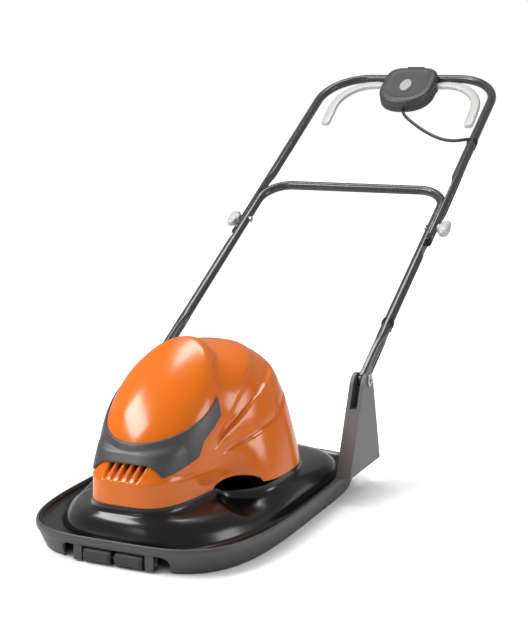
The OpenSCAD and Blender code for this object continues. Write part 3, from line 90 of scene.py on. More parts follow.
for name, place, target, size, power in (
        ("key_lamp", (-1.4, -1.3, 2.2), (0, -0.3, 0.15), (1.8, 0.8), 59),
        ("top_lamp", (-0.4, 0.6, 2.6), (0, -0.3, 0.15), (1.6, 0.5), 26),
        ("side_lamp", (2.5, 0.2, 0.9), (0, -0.1, 0.2), (0.9, 1.0), 17),
        ("front_lamp", (-0.5, -2.9, 1.0), (0, -0.4, 0.1), (0.9, 0.9), 4)):
    lamp_data = bpy.data.lights.new(name, "AREA")
    lamp_data.shape = "RECTANGLE"
    lamp_data.size, lamp_data.size_y = size
    lamp_data.energy = power
    lamp = bpy.data.objects.new(name, lamp_data)
    lamp.location = place
    look = np.array(target) - np.array(place)
    lamp.rotation_euler = (math.acos(-look[2] / np.linalg.norm(look)), 0,
                           math.atan2(look[1], look[0]) - math.pi / 2)
    bpy.context.collection.objects.link(lamp)

world = bpy.data.worlds.new("studio")
world.use_nodes = True
sky = world.node_tree
sky.nodes.clear()
ray = add(sky, "ShaderNodeLightPath")
# Gloss sees a part of the white, so that metal shows the background and dark plastics stay dark.
through = add(sky, "ShaderNodeMath", {0: ray.outputs["Is Glossy Ray"], 2: ray.outputs["Is Transmission Ray"]},
              {1: 0.06}, operation="MULTIPLY_ADD")
seen = add(sky, "ShaderNodeMath", {0: ray.outputs["Is Camera Ray"], 1: through.outputs[0]}, operation="MAXIMUM")
glow = add(sky, "ShaderNodeMapRange", {"Value": seen.outputs[0]}, {"To Min": 0.28, "To Max": 1.0})
paper = add(sky, "ShaderNodeBackground", {"Strength": glow.outputs[0]}, {"Color": linear("#ffffff")})
add(sky, "ShaderNodeOutputWorld", {"Surface": paper.outputs[0]})
bpy.context.scene.world = world

floor_mesh = bpy.data.meshes.new("floor")
floor_mesh.from_pydata([(-9, -9, 0), (9, -9, 0), (9, 9, 0), (-9, 9, 0)], [], [(0, 1, 2, 3)])
floor = bpy.data.objects.new("floor", floor_mesh)
bpy.context.collection.objects.link(floor)
floor_paper = bpy.data.materials.new("floor_paper")
floor_paper.use_nodes = True
tree = floor_paper.node_tree
tree.nodes.clear()
ray = add(tree, "ShaderNodeLightPath")
spot = add(tree, "ShaderNodeNewGeometry")
away = add(tree, "ShaderNodeVectorMath", {0: spot.outputs["Position"]}, operation="LENGTH")
fade = add(tree, "ShaderNodeMapRange", {"Value": away.outputs["Value"]},
           {"From Min": 0.8, "From Max": 1.9, "To Min": 0.45, "To Max": 1.0}, interpolation_type="SMOOTHSTEP")
# Painted shadow: the camera's glow is cut by ambient occlusion where the mower closes the floor off, under it and
# round its edges.
painted_contact_shadow = add(tree, "ShaderNodeAmbientOcclusion", values={"Distance": 0.3}, samples=8)
clear = add(tree, "ShaderNodeMath", {0: painted_contact_shadow.outputs["AO"], 1: fade.outputs[0]}, operation="MULTIPLY")
shown = add(tree, "ShaderNodeMath", {0: ray.outputs["Is Camera Ray"], 1: clear.outputs[0]}, operation="MULTIPLY")
lit = add(tree, "ShaderNodeBsdfDiffuse", values={"Color": linear("#f2f2f2")})
shine = add(tree, "ShaderNodeEmission", {"Strength": shown.outputs[0]}, {"Color": linear("#ffffff")})
both = add(tree, "ShaderNodeAddShader", {0: lit.outputs[0], 1: shine.outputs[0]})
add(tree, "ShaderNodeOutputMaterial", {"Surface": both.outputs[0]})
floor_mesh.materials.append(floor_paper)

# Bumper: a moulded polypropylene rim, satin grey with a fine spark-eroded grain.
# It is rolled over at the top, steps down to a ledge for the hood, and is cut away
# in front over the rollers. The hood drops on to the ledge.

mm = 0.001
# Half-width and reach of the rim from its widest line, which lies behind the blade axis, in mm. The CAD
# rim's front then gives the axis in the row frame.
rim_half_w, rim_front, rim_rear, rim_mid_y = 200, 352, 258, 62
axis_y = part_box("bumper")[0][1] + (rim_front - rim_mid_y) * mm


def deck(points):
    """Millimetres from the blade axis to metres in the row frame: a shift along Y and a scale."""
    return points * mm + np.array([0, axis_y, 0])


def oval(turn, half_w, front, rear, mid, front_power, rear_power):
    """Points of an oval by azimuth from the front: the radius that makes |x/half_w|^n + |y/reach|^n one."""
    s, c = np.sin(turn), np.cos(turn)
    n = np.where(c > 0, front_power, rear_power)
    reach = np.where(c > 0, front, rear)
    r = (np.abs(s / half_w) ** n + np.abs(c / reach) ** n) ** (-1 / n)
    return np.stack([r * s, mid - r * c], -1)


def rim(turn, out):
    """The rim's outline set out by a distance."""
    return oval(turn, rim_half_w + out, rim_front + out, rim_rear + out, rim_mid_y, 4, 5)


def soften(line, times, closed=True):
    """Cuts each corner of a line at a quarter and three quarters of its sides, again and again."""
    for _ in range(times):
        after = np.roll(line, -1, 0) if closed else line[1:]
        before = line if closed else line[:-1]
        cut = np.stack([0.75 * before + 0.25 * after, 0.25 * before + 0.75 * after], 1)
        cut = cut.reshape(-1, line.shape[1])
        line = cut if closed else np.vstack([line[:1], cut, line[-1:]])
    return line


def surface(name, grid, round_u=False, round_v=False, caps=(), flip=False):
    """A mesh over a grid of points (u, v, xyz) in metres: quads between neighbours, closed round where
    asked, with a fan to the mean point over each end row or column that caps names."""
    nu, nv = grid.shape[:2]
    index = np.arange(nu * nv).reshape(nu, nv)
    u = np.arange(nu if round_u else nu - 1)
    v = np.arange(nv if round_v else nv - 1)
    a = index[u][:, v]
    b = index[(u + 1) % nu][:, v]
    c = index[(u + 1) % nu][:, (v + 1) % nv]
    d = index[u][:, (v + 1) % nv]
    quads = np.stack([a, b, c, d], -1).reshape(-1, 4)
    points = grid.reshape(-1, 3)
    faces = quads[:, ::-1].tolist() if flip else quads.tolist()
    ends = {"u0": index[0], "u1": index[-1][::-1], "v0": index[:, 0][::-1], "v1": index[:, -1]}
    for cap in caps:
        edge = ends[cap][::-1] if flip else ends[cap]
        hub = len(points)
        points = np.vstack([points, points[edge].mean(0)])
        ahead = np.roll(edge, -1) if (round_v if cap[0] == "u" else round_u) else edge[1:]
        fan = np.stack([edge[:len(ahead)], ahead, np.full(len(ahead), hub)], -1)
        faces += fan.tolist()
    mesh = bpy.data.meshes.new(name)
    mesh.from_pydata(points.tolist(), [], faces)
    mesh.polygons.foreach_set("use_smooth", np.ones(len(faces), bool))
    mesh.update()
    piece = bpy.data.objects.new(name, mesh)
    bpy.context.collection.objects.link(piece)
    return piece


def moulded(name, shade, fleck, roughness, grain_mm, depth_mm, coat=0.0):
    """A moulded plastic: a base shade clouded towards a fleck over some centimetres, a roughness that
    wanders a little, and the tool's grain as a bump of the given size."""
    material = bpy.data.materials.new(name)
    material.use_nodes = True
    tree = material.node_tree
    tree.nodes.clear()
    place = add(tree, "ShaderNodeTexCoord")
    cloud = add(tree, "ShaderNodeTexNoise", {"Vector": place.outputs["Object"]}, {"Scale": 1 / 0.045, "Detail": 3.0})
    colour = add(tree, "ShaderNodeMix", {"Factor": cloud.outputs[0]}, data_type="RGBA")
    colour.inputs[6].default_value = linear(shade)
    colour.inputs[7].default_value = linear(fleck)
    rub = add(tree, "ShaderNodeTexNoise", {"Vector": place.outputs["Object"]}, {"Scale": 1 / 0.018, "Detail": 4.0})
    rough = add(tree, "ShaderNodeMapRange", {"Value": rub.outputs[0]},
                {"To Min": roughness * 0.86, "To Max": roughness * 1.14})
    grain = add(tree, "ShaderNodeTexNoise", {"Vector": place.outputs["Object"]},
                {"Scale": 1 / (grain_mm * mm), "Detail": 2.0})
    bump = add(tree, "ShaderNodeBump", {"Height": grain.outputs[0]}, {"Strength": 0.5, "Distance": depth_mm * mm})
    shader = add(tree, "ShaderNodeBsdfPrincipled",
                 {"Base Color": colour.outputs[2], "Roughness": rough.outputs[0], "Normal": bump.outputs[0]},
                 {"IOR": 1.49, "Coat Weight": coat, "Coat Roughness": 0.06})
    add(tree, "ShaderNodeOutputMaterial", {"Surface": shader.outputs[0]})
    return material


def dress(material, *nodes):
    """Puts a material on CAD nodes."""
    for node in nodes:
        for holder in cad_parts[node].material_slots:
            holder.material = material


# Grain of about 1 mm, drawn coarser than the real 0.3 mm so that it shows.
bumper_plastic = moulded("moulded_polypropylene_grey", "#4b4b4c", "#525253", 0.4, 1.1, 0.05)
lip = np.array([(-13, 0), (-12.4, 3), (-7, 16), (-3.4, 26), (-0.6, 31), (0, 35), (-0.3, 39.6), (-1.6, 41.8),
                (-3.6, 42), (-4.8, 41), (-5.6, 37), (-9.6, 29.4), (-20.5, 29.4), (-20.5, 27), (-10.5, 27), (-8.4, 25),
                (-11, 15), (-16.5, 0.2)], float)
profile = soften(lip, 2)
# Rings lie close together at the edges of the opening and of two drain notches on each side.
notch_ys, notch_h = np.array([90.6, 99.6, 118.3, 127.3]), 8.0
edges = np.concatenate([np.arctan2(199, rim_mid_y - notch_ys), np.radians(np.linspace(13.6, 17.6, 40))])
close = (edges[:, None] + np.radians([-0.03, 0.03])).ravel()
rim_end = np.radians(135.3)
sweep = np.sort(np.concatenate([np.linspace(-rim_end, rim_end, 400), close, -close]))
flat = np.stack([rim(sweep, o) for o in profile[:, 0]], 1)
x, y = flat[..., 0], flat[..., 1]
# The roller opening: a round-cornered gap 27 mm high; the lower points are lifted to its edge.
gap_half_w, gap_h, corner = 92, 27, 13.5
past = np.clip(np.abs(x) - (gap_half_w - corner), 0, corner)
arc = gap_h - corner + np.sqrt(np.maximum(corner ** 2 - past ** 2, 0))
gap = np.where((np.abs(x) < gap_half_w) & (y < -200), arc, 0)
seen_from = np.abs(sweep)[:, None] + 0 * x
for low_edge, high_edge in zip(edges[0:4:2], edges[1:4:2]):
    gap = np.where((seen_from > low_edge) & (seen_from < high_edge), notch_h, gap)
z = np.maximum(np.broadcast_to(profile[:, 1], x.shape), gap)
bumper = surface("bumper_rim", deck(np.stack([x, y, z], -1)), round_v=True, caps=("u0", "u1"))
bumper.data.materials.append(bumper_plastic)
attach(bumper, "deck")
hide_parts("bumper")

# Motor cover: a glossy orange ABS moulding. A bulb over a nose in front and a broad rear body
# run into each other; swept ridges cross the flanks, five flutes under the visor let air in, and
# an arch on each side clears the hood's air duct. Four screws hold it from below.

cover_z, bulb_top, rear_top, nose_top = 87, 307, 285, 214
rear_half_w, bulb_half_w, nose_front = 156, 94, -258


def lobe(x, y, half_w, front, back, mid, front_power, rear_power):
    """Nought in a lobe's middle and one on its skin: (|x/half_w|^n + |y/reach|^n)^(1/n)."""
    n = np.where(y < mid, front_power, rear_power)
    reach = np.where(y < mid, front, back)
    inside = (half_w > 0) & (reach > 0)
    half_w = np.where(inside, half_w, 1)
    reach = np.where(inside, reach, 1)
    return np.where(inside, (np.abs(x / half_w) ** n + np.abs((y - mid) / reach) ** n) ** (1 / n), 4)


def lobes(p, inset):
    """The fields of bulb, nose and rear body at points p; each tapers with height and is set in by inset."""
    x, y, z = p[..., 0], p[..., 1], p[..., 2]
    h = np.clip((z - cover_z) / (rear_top - inset - cover_z), 0, 1)
    taper = (1 - 0.325 * h ** 1.12) * (1 - h ** 7) ** 0.37
    soft = np.minimum(1, h / 0.4)
    r = rear_half_w * taper - inset
    rear = lobe(x, y, r, (112 + 44 * soft) * taper - inset, r, 29, 4 - 1.6 * soft, 2)
    h = np.clip((z - cover_z) / (bulb_top - inset - cover_z), 0, 1)
    mid = -104 + 60 * h ** 4
    front_y = -246 + 202 * h ** 2.4
    width = bulb_half_w * np.sqrt(1 - h ** 3.2) * (1 - 0.1 * (1 - h) ** 6) - inset
    bulb = lobe(x, y, width, mid - front_y - inset, 112 * np.sqrt(1 - h ** 3) - inset, mid, 2.2, 2.2)
    h = np.clip((z - cover_z) / (nose_top - inset - cover_z), 0, 1)
    front_y = nose_front + np.maximum(0, z - cover_z - 36) * 0.66 + np.maximum(0, z - 163) * 0.9
    width = (74 + (y - nose_front) * 0.1) * (1 - 0.1 * h) * (1 - h ** 6) ** 0.25 - inset
    nose = lobe(x, y, width, -140 - front_y - inset, 142 - inset + 0 * z, -140, 3.4, 6)
    return bulb, nose, rear


def skin(start, direction, inset):
    """Distance from start along a direction to the cover's skin, by halving: the front lobes and the rear
    lobe are joined softly where the sum of their fields to the power -5.7 is one."""
    near = np.zeros(direction.shape[:-1])
    far = np.full(direction.shape[:-1], 414.0)
    for _ in range(22):
        middle = (near + far) / 2
        bulb, nose, rear = lobes(start + middle[..., None] * direction, inset)
        ahead = np.maximum(np.minimum(bulb, nose), 0.01)
        inside = ahead ** -5.7 + np.maximum(rear, 0.01) ** -5.7 > 1
        near = np.where(inside, middle, near)
        far = np.where(inside, far, middle)
    return near


eye = np.array([0, -50, cover_z], float)


def heading(turn, rise):
    """A unit direction by azimuth from the front and by rise above the level."""
    return np.stack([np.sin(turn) * np.cos(rise), -np.cos(turn) * np.cos(rise), np.sin(rise)], -1)


def step(t):
    """A smooth step from nought to one: 3t^2 - 2t^3."""
    t = np.clip(t, 0, 1)
    return t * t * (3 - 2 * t)


def cover_skin(turn, rows, inset):
    """The skin over a fan of azimuths: rise runs from the lower edge, lifted over the side arches, to the top."""
    base = eye + skin(eye, heading(turn, 0 * turn), inset)[:, None] * heading(turn, 0 * turn)
    # The arch is an ellipse 72 mm wide and 14 mm high, turned 16 degrees, about a point on the flank.
    across = np.abs(base[:, 0]) - 112
    arch = 14 * np.sqrt(np.clip(1 - ((across * 0.96 + (base[:, 1] + 78) * 0.28) / 36) ** 2, 0, 1))
    arch = np.where(base[:, 1] < -20, arch, 0) * np.where(np.abs(base[:, 0]) > 60, 1, 0)
    reach = np.linalg.norm(base - eye, axis=1)
    low = np.arcsin(np.clip(arch / reach, 0, 0.5))
    rise = low[:, None] + (np.pi / 2 - low[:, None]) * rows[None, :]
    towards = heading(turn[:, None] + 0 * rise, rise)
    return eye + skin(eye, towards, inset)[..., None] * towards


def normals(grid):
    """Unit normals of a grid, from the cross product of its two directions of travel."""
    along = np.roll(grid, -1, 0) - np.roll(grid, 1, 0)
    up = np.gradient(grid, axis=1)
    n = np.cross(along, up)
    return n / np.maximum(np.linalg.norm(n, axis=-1, keepdims=True), 1e-9)


even = np.linspace(0, 2 * np.pi, 420, endpoint=False)
# Closer together round the front, where the flutes are.
fan = even - np.radians(38) * np.sin(even)
rows = np.linspace(0, 1, 140) ** 1.15
outer = cover_skin(fan, rows, 0)
x, y, z = outer[..., 0], outer[..., 1], outer[..., 2]
side = np.degrees(np.abs((fan + np.pi) % (2 * np.pi) - np.pi))[:, None] + 0 * z
# Swept edges: below each the skin stands proud, above it dips and then comes back slowly.
swell = np.zeros_like(z)
for turns, heights, dip, back in (
        ([30, 42, 60, 78, 97, 119, 138, 160], [118, 140, 167, 186, 208, 229, 242, 250], 8.0, 27),
        ([36, 49, 63, 80, 99, 117, 129, 150], [122, 132, 143, 152, 163, 173, 189, 205], 6.0, 19)):
    above = z - np.interp(side, turns, heights)
    fade = step((side - turns[1]) / 26) * step((turns[-1] - side) / 34)
    swell -= fade * dip * step(above / 5) * np.exp(-np.maximum(above, 0) / back)
# The collar behind the bulb ends in a soft roll over the valley.
above = z - np.interp(side, [38, 45, 62, 83, 105, 148, 180], [152, 163, 189, 221, 253, 280, 284])
fade = step((side - 48) / 16)
swell += fade * np.where(above > 0, 2.2 * np.exp(-above / 24), -2.2 + 4.4 * step((above + 9) / 9))
swell += fade * np.where(above < 0, 2.2 * step((-above - 9) / 26), 0)
# The bulb's own edge stands over the collar.
past = side - np.interp(z, [150, 232, 250, 272, 284, 300], [57, 57, 58, 68, 110, 175])
swell -= step((z - 196) / 20) * 4.2 * step(past / 4.5) * np.exp(-np.maximum(past, 0) / 16)
# The nose's front band ends above in a soft edge.
swell += 1.2 * np.exp(-((z - 123) / 3.5) ** 2) * step((60 - side) / 20)
# Flutes: five leaning scoops, deep under the visor and running out below, with painted shade in their upper depths.
painted_scoop_shade = np.zeros_like(z)
flute_pitch = 13.5
for k in range(5):
    along = np.clip((z - 126) / 22, 0, 1)
    line = (k - 2) * flute_pitch - 3 + 6.2 * along
    beyond = np.maximum(127 - z, 0)
    away = np.sqrt((x - line) ** 2 + beyond ** 2) / (2.2 + 2.0 * along)
    pit = np.where((y < -190) & (z < 156), step((1.3 - away) / 0.75), 0)
    swell -= pit * (2.5 + 7 * along)
    # Painted shade, strongest at the top of each scoop under the visor and fading downwards.
    painted_scoop_shade = np.maximum(painted_scoop_shade, pit * step((z - 131) / 15))
# All relief dies out towards the crown.
swell *= step((np.hypot(x, y + 50) - 16) / 40)
outer = outer + normals(outer) * swell[..., None]
inner_rows = np.linspace(1, 0, 26) ** 1.15
inner = cover_skin(fan, inner_rows, 3.0)
depth = 9 * step(inner_rows * 8)
inner = eye + (inner - eye) * (1 - depth / 150)[None, :, None]
# A fan closes each skin at the crown.
inner, outer, painted_scoop_shade = inner[:, 1:], outer[:, :-1], painted_scoop_shade[:, :-1]
cover = surface("motor_cover_shell", deck(np.concatenate([inner, outer], 1)), round_u=True, caps=("v0", "v1"))
# Gloss of a polished tool: only a faint waviness of about 6 mm.
cover_orange = moulded("moulded_abs_orange", "#e66d01", "#ea7403", 0.2, 6.0, 0.012, coat=0.1)
# Painted shade in the scoops' depths: an attribute of the skin draws the colour down to a dark brown there.
dark = np.append(np.concatenate([np.zeros(inner.shape[:2]), painted_scoop_shade], 1), [0, 0])
cover.data.attributes.new("painted_scoop_shade", "FLOAT", "POINT").data.foreach_set("value", dark)
tree = cover_orange.node_tree
shader = tree.nodes["Principled BSDF"]
depth = add(tree, "ShaderNodeAttribute", attribute_name="painted_scoop_shade")
shade = add(tree, "ShaderNodeMix", {"Factor": depth.outputs["Fac"]}, data_type="RGBA")
tree.links.new(shader.inputs["Base Color"].links[0].from_socket, shade.inputs[6])
shade.inputs[7].default_value = linear("#2a0e02")
tree.links.new(shade.outputs[2], shader.inputs["Base Color"])
cover.data.materials.append(cover_orange)
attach(cover, "deck")
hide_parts("motor_cover")

# Hood: a glossy black polypropylene deck. A flange lies on the bumper's ledge, a rounded dome
# rises out of a channel, and a neck under the motor cover follows the cover's base. A skirt
# hangs down inside the bumper round the blade.


def foot_ring(turn, wall):
    """The dome's foot, inside the rim: rounder than the rim in front and close to it behind."""
    p = oval(turn, 180 - wall, 341 - wall, 236 - wall, rim_mid_y, 2.8, 4)
    return np.column_stack([p, np.full(len(turn), 31.5 - wall)])


def level(turn, out, z):
    """The rim's outline set out by a distance, as a ring at one height."""
    return np.column_stack([rim(turn, out), np.full(len(turn), float(z))])


def neck(ring, inset, z):
    """The cover's base outline set in by inset, met at the same azimuth as a ring of the dome."""
    turn = np.arctan2(ring[:, 0], -(ring[:, 1] + 50))
    p = eye + skin(eye, heading(turn, 0 * turn), inset)[:, None] * heading(turn, 0 * turn)
    return np.column_stack([p[:, :2], z + 0 * turn])


hood_turn = np.linspace(0, 2 * np.pi, 480, endpoint=False)
# Shares of the way from the foot in to the neck, and up: a steep round side, then a hollow fillet.
shares = soften(np.array([(0, 0.0), (0.04, 0.03), (0.08, 0.14), (0.16, 0.34), (0.3, 0.52), (0.5, 0.64), (0.72, 0.715),
                          (0.86, 0.76), (0.95, 0.83), (0.985, 0.91), (1, 1)]), 2, False)


def dome(inward, upward, wall):
    """A ring of the dome: shares of the way in and up from its foot to the neck under the cover."""
    low = foot_ring(hood_turn, wall)
    top = neck(low, 1.6 + wall, cover_z - wall)
    return low + (top - low) * np.array([inward, inward, upward])


rings = [dome(i, u, 3) for i, u in shares[::-3]]
# The skirt, down inside and up outside, then the flange on the ledge and the channel floor.
rings += [level(hood_turn, out, z) for out, z in (
    (-23.8, 28), (-23.8, 8.4), (-23.2, 8), (-21.3, 8), (-20.8, 8.4), (-20.8, 29.6), (-9.8, 29.6),
    (-5.9, 37), (-5.4, 39.6), (-6.2, 39.9), (-7.4, 37.6), (-11.2, 32), (-13, 31.5))]
rings += [dome(i, u, 0) for i, u in shares]
rings += [neck(rings[-1], 2.4, cover_z)]
grid = np.stack(rings, 1)
# Air inlets: behind the front mound, under each arch of the cover, the hood drops away and rises
# slowly again.
bearing = np.degrees(np.arctan2(np.abs(grid[..., 0]), -(grid[..., 1] + 50)))
drop = 11 * step((bearing - 50) / 15) * step((112 - bearing) / 40)
grid[..., 2] -= drop * step((grid[..., 2] - 42) / 26)
# Opening in the skirt behind the rollers, as in the bumper.
behind = (np.abs(grid[..., 0]) < 54) & (grid[..., 1] < -225) & (grid[..., 2] < 29)
grid[..., 2] = np.where(behind, 29, grid[..., 2])
hood = surface("hood_shell", deck(grid), round_u=True, caps=("v0", "v1"))
hood_black = moulded("moulded_polypropylene_black", "#0f0f10", "#141415", 0.24, 6.0, 0.02, coat=0.1)
hood.data.materials.append(hood_black)
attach(hood, "deck")
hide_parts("hood")

# Visor: a dark grey satin polypropylene band clipped over the cover's front. Its upper edge
# swings up into two arms; its lower edge has two points beside the flutes and a step on each arm.

arm_end = 58
visor_turn = np.linspace(-arm_end, arm_end, 233)
width = np.abs(visor_turn)
high = 176 + 55 * (width / arm_end) ** 1.65
low = np.interp(width, [0, 11, 14.5, 18, 22, 30, 36, 39.5, 45, arm_end],
                [149, 148, 142, 131, 134.5, 142, 150, 172, 182, 203])
# Round the section: outside from edge to edge, then back along the inside.
lift = np.concatenate([[0.8, 2.6, 3.5], np.full(17, 3.8), [3.5, 2.6, 0.8], np.full(6, 0.8)])
share = np.concatenate([[0, 0.004, 0.018], np.linspace(0.04, 0.96, 17), [0.982, 0.996, 1], np.linspace(0.9, 0.1, 6)])
ends = np.clip((arm_end - width) / 1.2, 0, 1)[:, None]
z = low[:, None] + (high - low)[:, None] * share[None, :]
start = np.stack([0 * z, 0 * z - 50, z], -1)
towards = heading(np.radians(visor_turn)[:, None] + 0 * z, 0 * z)
proud = 0.8 + (lift[None, :] - 0.8) * np.sqrt(ends)
grid = start + (skin(start, towards, 0) + proud)[..., None] * towards
visor = surface("visor_band", deck(grid), round_v=True, caps=("u0", "u1"))
visor_plastic = moulded("moulded_polypropylene_dark_grey", "#454547", "#4b4b4d", 0.4, 1.2, 0.03)
visor.data.materials.append(visor_plastic)
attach(visor, "deck")
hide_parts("visor")

# Pillars and pivots: two hollow grey posts stand on the rim and take the handle's flattened feet
# between their cheeks. A zinc-plated bolt and nut hold each foot.

pillar_plastic = moulded("moulded_polypropylene_grey_light", "#666667", "#6d6d6e", 0.42, 1.1, 0.04)
dress(pillar_plastic, "pillar_left", "pillar_right")


def metal(name, shade, fleck, roughness, grain_mm, stretch=(1, 1, 1)):
    """A bare or plated metal: two close shades mixed by a fine grain that may be drawn out one way,
    which also wanders through its roughness."""
    material = bpy.data.materials.new(name)
    material.use_nodes = True
    tree = material.node_tree
    tree.nodes.clear()
    place = add(tree, "ShaderNodeTexCoord")
    drawn = add(tree, "ShaderNodeMapping", {"Vector": place.outputs["Object"]}, {"Scale": stretch})
    grain = add(tree, "ShaderNodeTexNoise", {"Vector": drawn.outputs[0]},
                {"Scale": 1 / (grain_mm * mm), "Detail": 3.0})
    colour = add(tree, "ShaderNodeMix", {"Factor": grain.outputs[0]}, data_type="RGBA")
    colour.inputs[6].default_value = linear(shade)
    colour.inputs[7].default_value = linear(fleck)
    rough = add(tree, "ShaderNodeMapRange", {"Value": grain.outputs[0]},
                {"To Min": roughness * 0.8, "To Max": roughness * 1.2})
    shader = add(tree, "ShaderNodeBsdfPrincipled", {"Base Color": colour.outputs[2], "Roughness": rough.outputs[0]},
                 {"Metallic": 1.0})
    add(tree, "ShaderNodeOutputMaterial", {"Surface": shader.outputs[0]})
    return material


zinc = metal("zinc_plated_steel", "#b9b9bb", "#cfcfd2", 0.34, 2.0)
dress(zinc, "pivot_bolts", "pivot_nuts", "cover_screws", "roller_axle")

# Rollers: two dark grey turned nylon rollers at the front edge. They run on a steel axle, which
# brackets of the bumper's plastic carry.

roller_nylon = moulded("turned_nylon_grey", "#363638", "#3e3e40", 0.46, 0.9, 0.05)
dress(roller_nylon, "roller_left", "roller_right")
dress(bumper_plastic, "roller_brackets")

# Motor: a laminated stator with copper coils on a die-cast foot, a wound armature with commutator,
# brushes in brass holders and a suppressor. All of it sits under the cover.

dress(metal("diecast_aluminium", "#8f9093", "#a5a6a9", 0.5, 1.5), "motor_foot", "top_bracket")
lamination = metal("stacked_lamination_steel", "#5d5d60", "#77777a", 0.42, 0.8, (1, 1, 6))
dress(lamination, "stator", "armature")
dress(metal("enamelled_copper_wire", "#8a4a20", "#b0632b", 0.3, 0.7, (1, 1, 5)), "field_coils", "commutator")
steel = metal("ground_steel", "#9a9b9e", "#b4b5b8", 0.26, 0.8, (1, 1, 8))
dress(steel, "motor_shaft", "lower_bearing", "upper_bearing", "lever_pin")
dress(zinc, "motor_screws")
dress(metal("rolled_brass", "#a98b3c", "#c0a14c", 0.34, 1.0), "brush_holders")
black_nylon = moulded("moulded_nylon_black", "#161617", "#1d1d1e", 0.4, 1.0, 0.04)
dress(black_nylon, "carbon_brushes", "switch", "button_guide")
dress(moulded("dipped_resin_blue", "#2b5a86", "#32659a", 0.35, 2.0, 0.03), "suppressor")

# Fan and blade: a black nylon fan lifts the machine on air; a pressed steel blade is bolted under it
# through a yellow spacer.

dress(black_nylon, "fan")
dress(moulded("moulded_acetal_yellow", "#d8a51c", "#e0b02c", 0.36, 1.4, 0.04), "blade_spacer")
dress(metal("rolled_blade_steel", "#6e7073", "#8a8c90", 0.38, 1.2, (1, 6, 1)), "blade")
dress(zinc, "blade_washer", "blade_bolt")

# Handle tubes: 19 mm steel tube bent to two U shapes and powder-coated dark grey. The legs are pressed
# flat where the clamp bolts join them, and so are the lower feet, which have a groove. The coat is glossy
# with a very slight orange peel, drawn at 9 mm instead of 2. Black plugs close the upper tube's ends.

tube_paint = moulded("powder_coat_dark_grey", "#38383a", "#3e3e40", 0.22, 9.0, 0.004, coat=0.2)
black_plastic = moulded("moulded_polyethylene_black", "#121213", "#19191a", 0.42, 1.0, 0.04)
dress(black_plastic, "end_plugs", "upper_clip", "lower_clip", "mains_inlet", "lead_gland")
dress(zinc, "clamp_bolts", "box_screws")

pivot_y, pivot_z, lean = 235, 197.5, math.radians(30)


def handle(x, s, n):
    """Points in the handle's frame, across, up along it and square to it, in the row frame in metres."""
    y = pivot_y + s * math.cos(lean) - n * math.sin(lean)
    z = pivot_z + s * math.sin(lean) + n * math.cos(lean)
    return deck(np.stack(np.broadcast_arrays(x, y, z), -1).astype(float))


tube_r, foot_r, leg_x, upper_x = 9.5, 12, 202, 205.9
crossbar_s, crossbar_bend, top_s, top_bend, clamp_s = 581, 60, 1031, 100, 452


def bent_tube(half_w, rows, high, bend_r, flat, groove):
    """A U of two legs, two bends and a bar: round sections square to its line, which flat turns into
    oblongs, |x/a|^n + |n/b|^n = 1 with n from 2 to 5, and groove draws in along the middle of a face."""
    bend = np.radians(np.linspace(0, 90, 16))
    right = np.vstack([np.column_stack([np.full(len(rows), half_w), rows]),
                       np.column_stack([half_w + bend_r * (np.cos(bend) - 1), high + bend_r * (np.sin(bend) - 1)])])
    course = np.vstack([np.tile([0.0, 1.0], (len(rows), 1)), np.column_stack([-np.sin(bend), np.cos(bend)])])
    line = np.vstack([right, right[::-1] * [-1, 1]])
    along = np.vstack([course, course[::-1] * [1, -1]])
    flat, groove = (np.pad(k, (0, len(bend))) for k in (flat, groove))
    flat, groove = (np.concatenate([k, k[::-1]])[:, None] for k in (flat, groove))
    a = np.linspace(0, 2 * np.pi, 64, endpoint=False)
    power = 2 / (2 + 3 * flat)
    # The end of a flattened foot is rounded about the pivot.
    tip = np.sqrt(np.clip(1 - np.minimum(line[:, 1:] / foot_r, 0) ** 2, 0.001, 1))
    n = (tube_r + (foot_r - tube_r) * flat) * tip * np.sign(np.sin(a)) * np.abs(np.sin(a)) ** power
    out = (tube_r - 4.5 * flat - groove * np.exp(-(n / 3.6) ** 4)) * np.sign(np.cos(a)) * np.abs(np.cos(a)) ** power
    return line[:, None, 0] + along[:, None, 1] * out, line[:, None, 1] - along[:, None, 0] * out, n


rows = np.concatenate([[-11.99, -11.6, -10.6, -8.6, -6, -3], np.arange(0, 150, 4), np.arange(150, 350, 25),
                       np.arange(350, 392, 3), np.arange(400, 521, 20)]).astype(float)
groove = 2 * step((rows - 34) / 8) * step((110 - rows) / 8)
x, s, n = bent_tube(leg_x, rows, crossbar_s, crossbar_bend, 1 - step((rows - 84) / 56), groove)
# Pressed flat on the outside, up to the face where the legs meet.
x = np.sign(x) * np.minimum(np.abs(x), 211.6 - 6.6 * step((s - 350) / 39))
lower_tube = surface("lower_handle_tube", handle(x, s, n), round_v=True, caps=("u0", "u1"))
# Pressed on the inside, up to the same face.
rows = np.concatenate([np.arange(408, 594, 20), np.arange(594, 644, 3), np.arange(660, 931, 30)]).astype(float)
x, s, n = bent_tube(upper_x, rows, top_s, top_bend, 0 * rows, 0 * rows)
x = np.sign(x) * np.maximum(np.abs(x), np.where(s < 645, 205.4 - 9.1 * step((s - 594) / 46), 0))
upper_tube = surface("upper_handle_tube", handle(x, s, n), round_v=True, caps=("u0", "u1"))
for piece, body, node in ((lower_tube, "lower_frame", "lower_handle"), (upper_tube, "upper_frame", "upper_handle")):
    piece.data.materials.append(tube_paint)
    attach(piece, body)
    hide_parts(node)

# Knobs: off-white polyamide wing knobs screwed on the clamp bolts; each is a rounded two-winged
# moulding on a short hub.

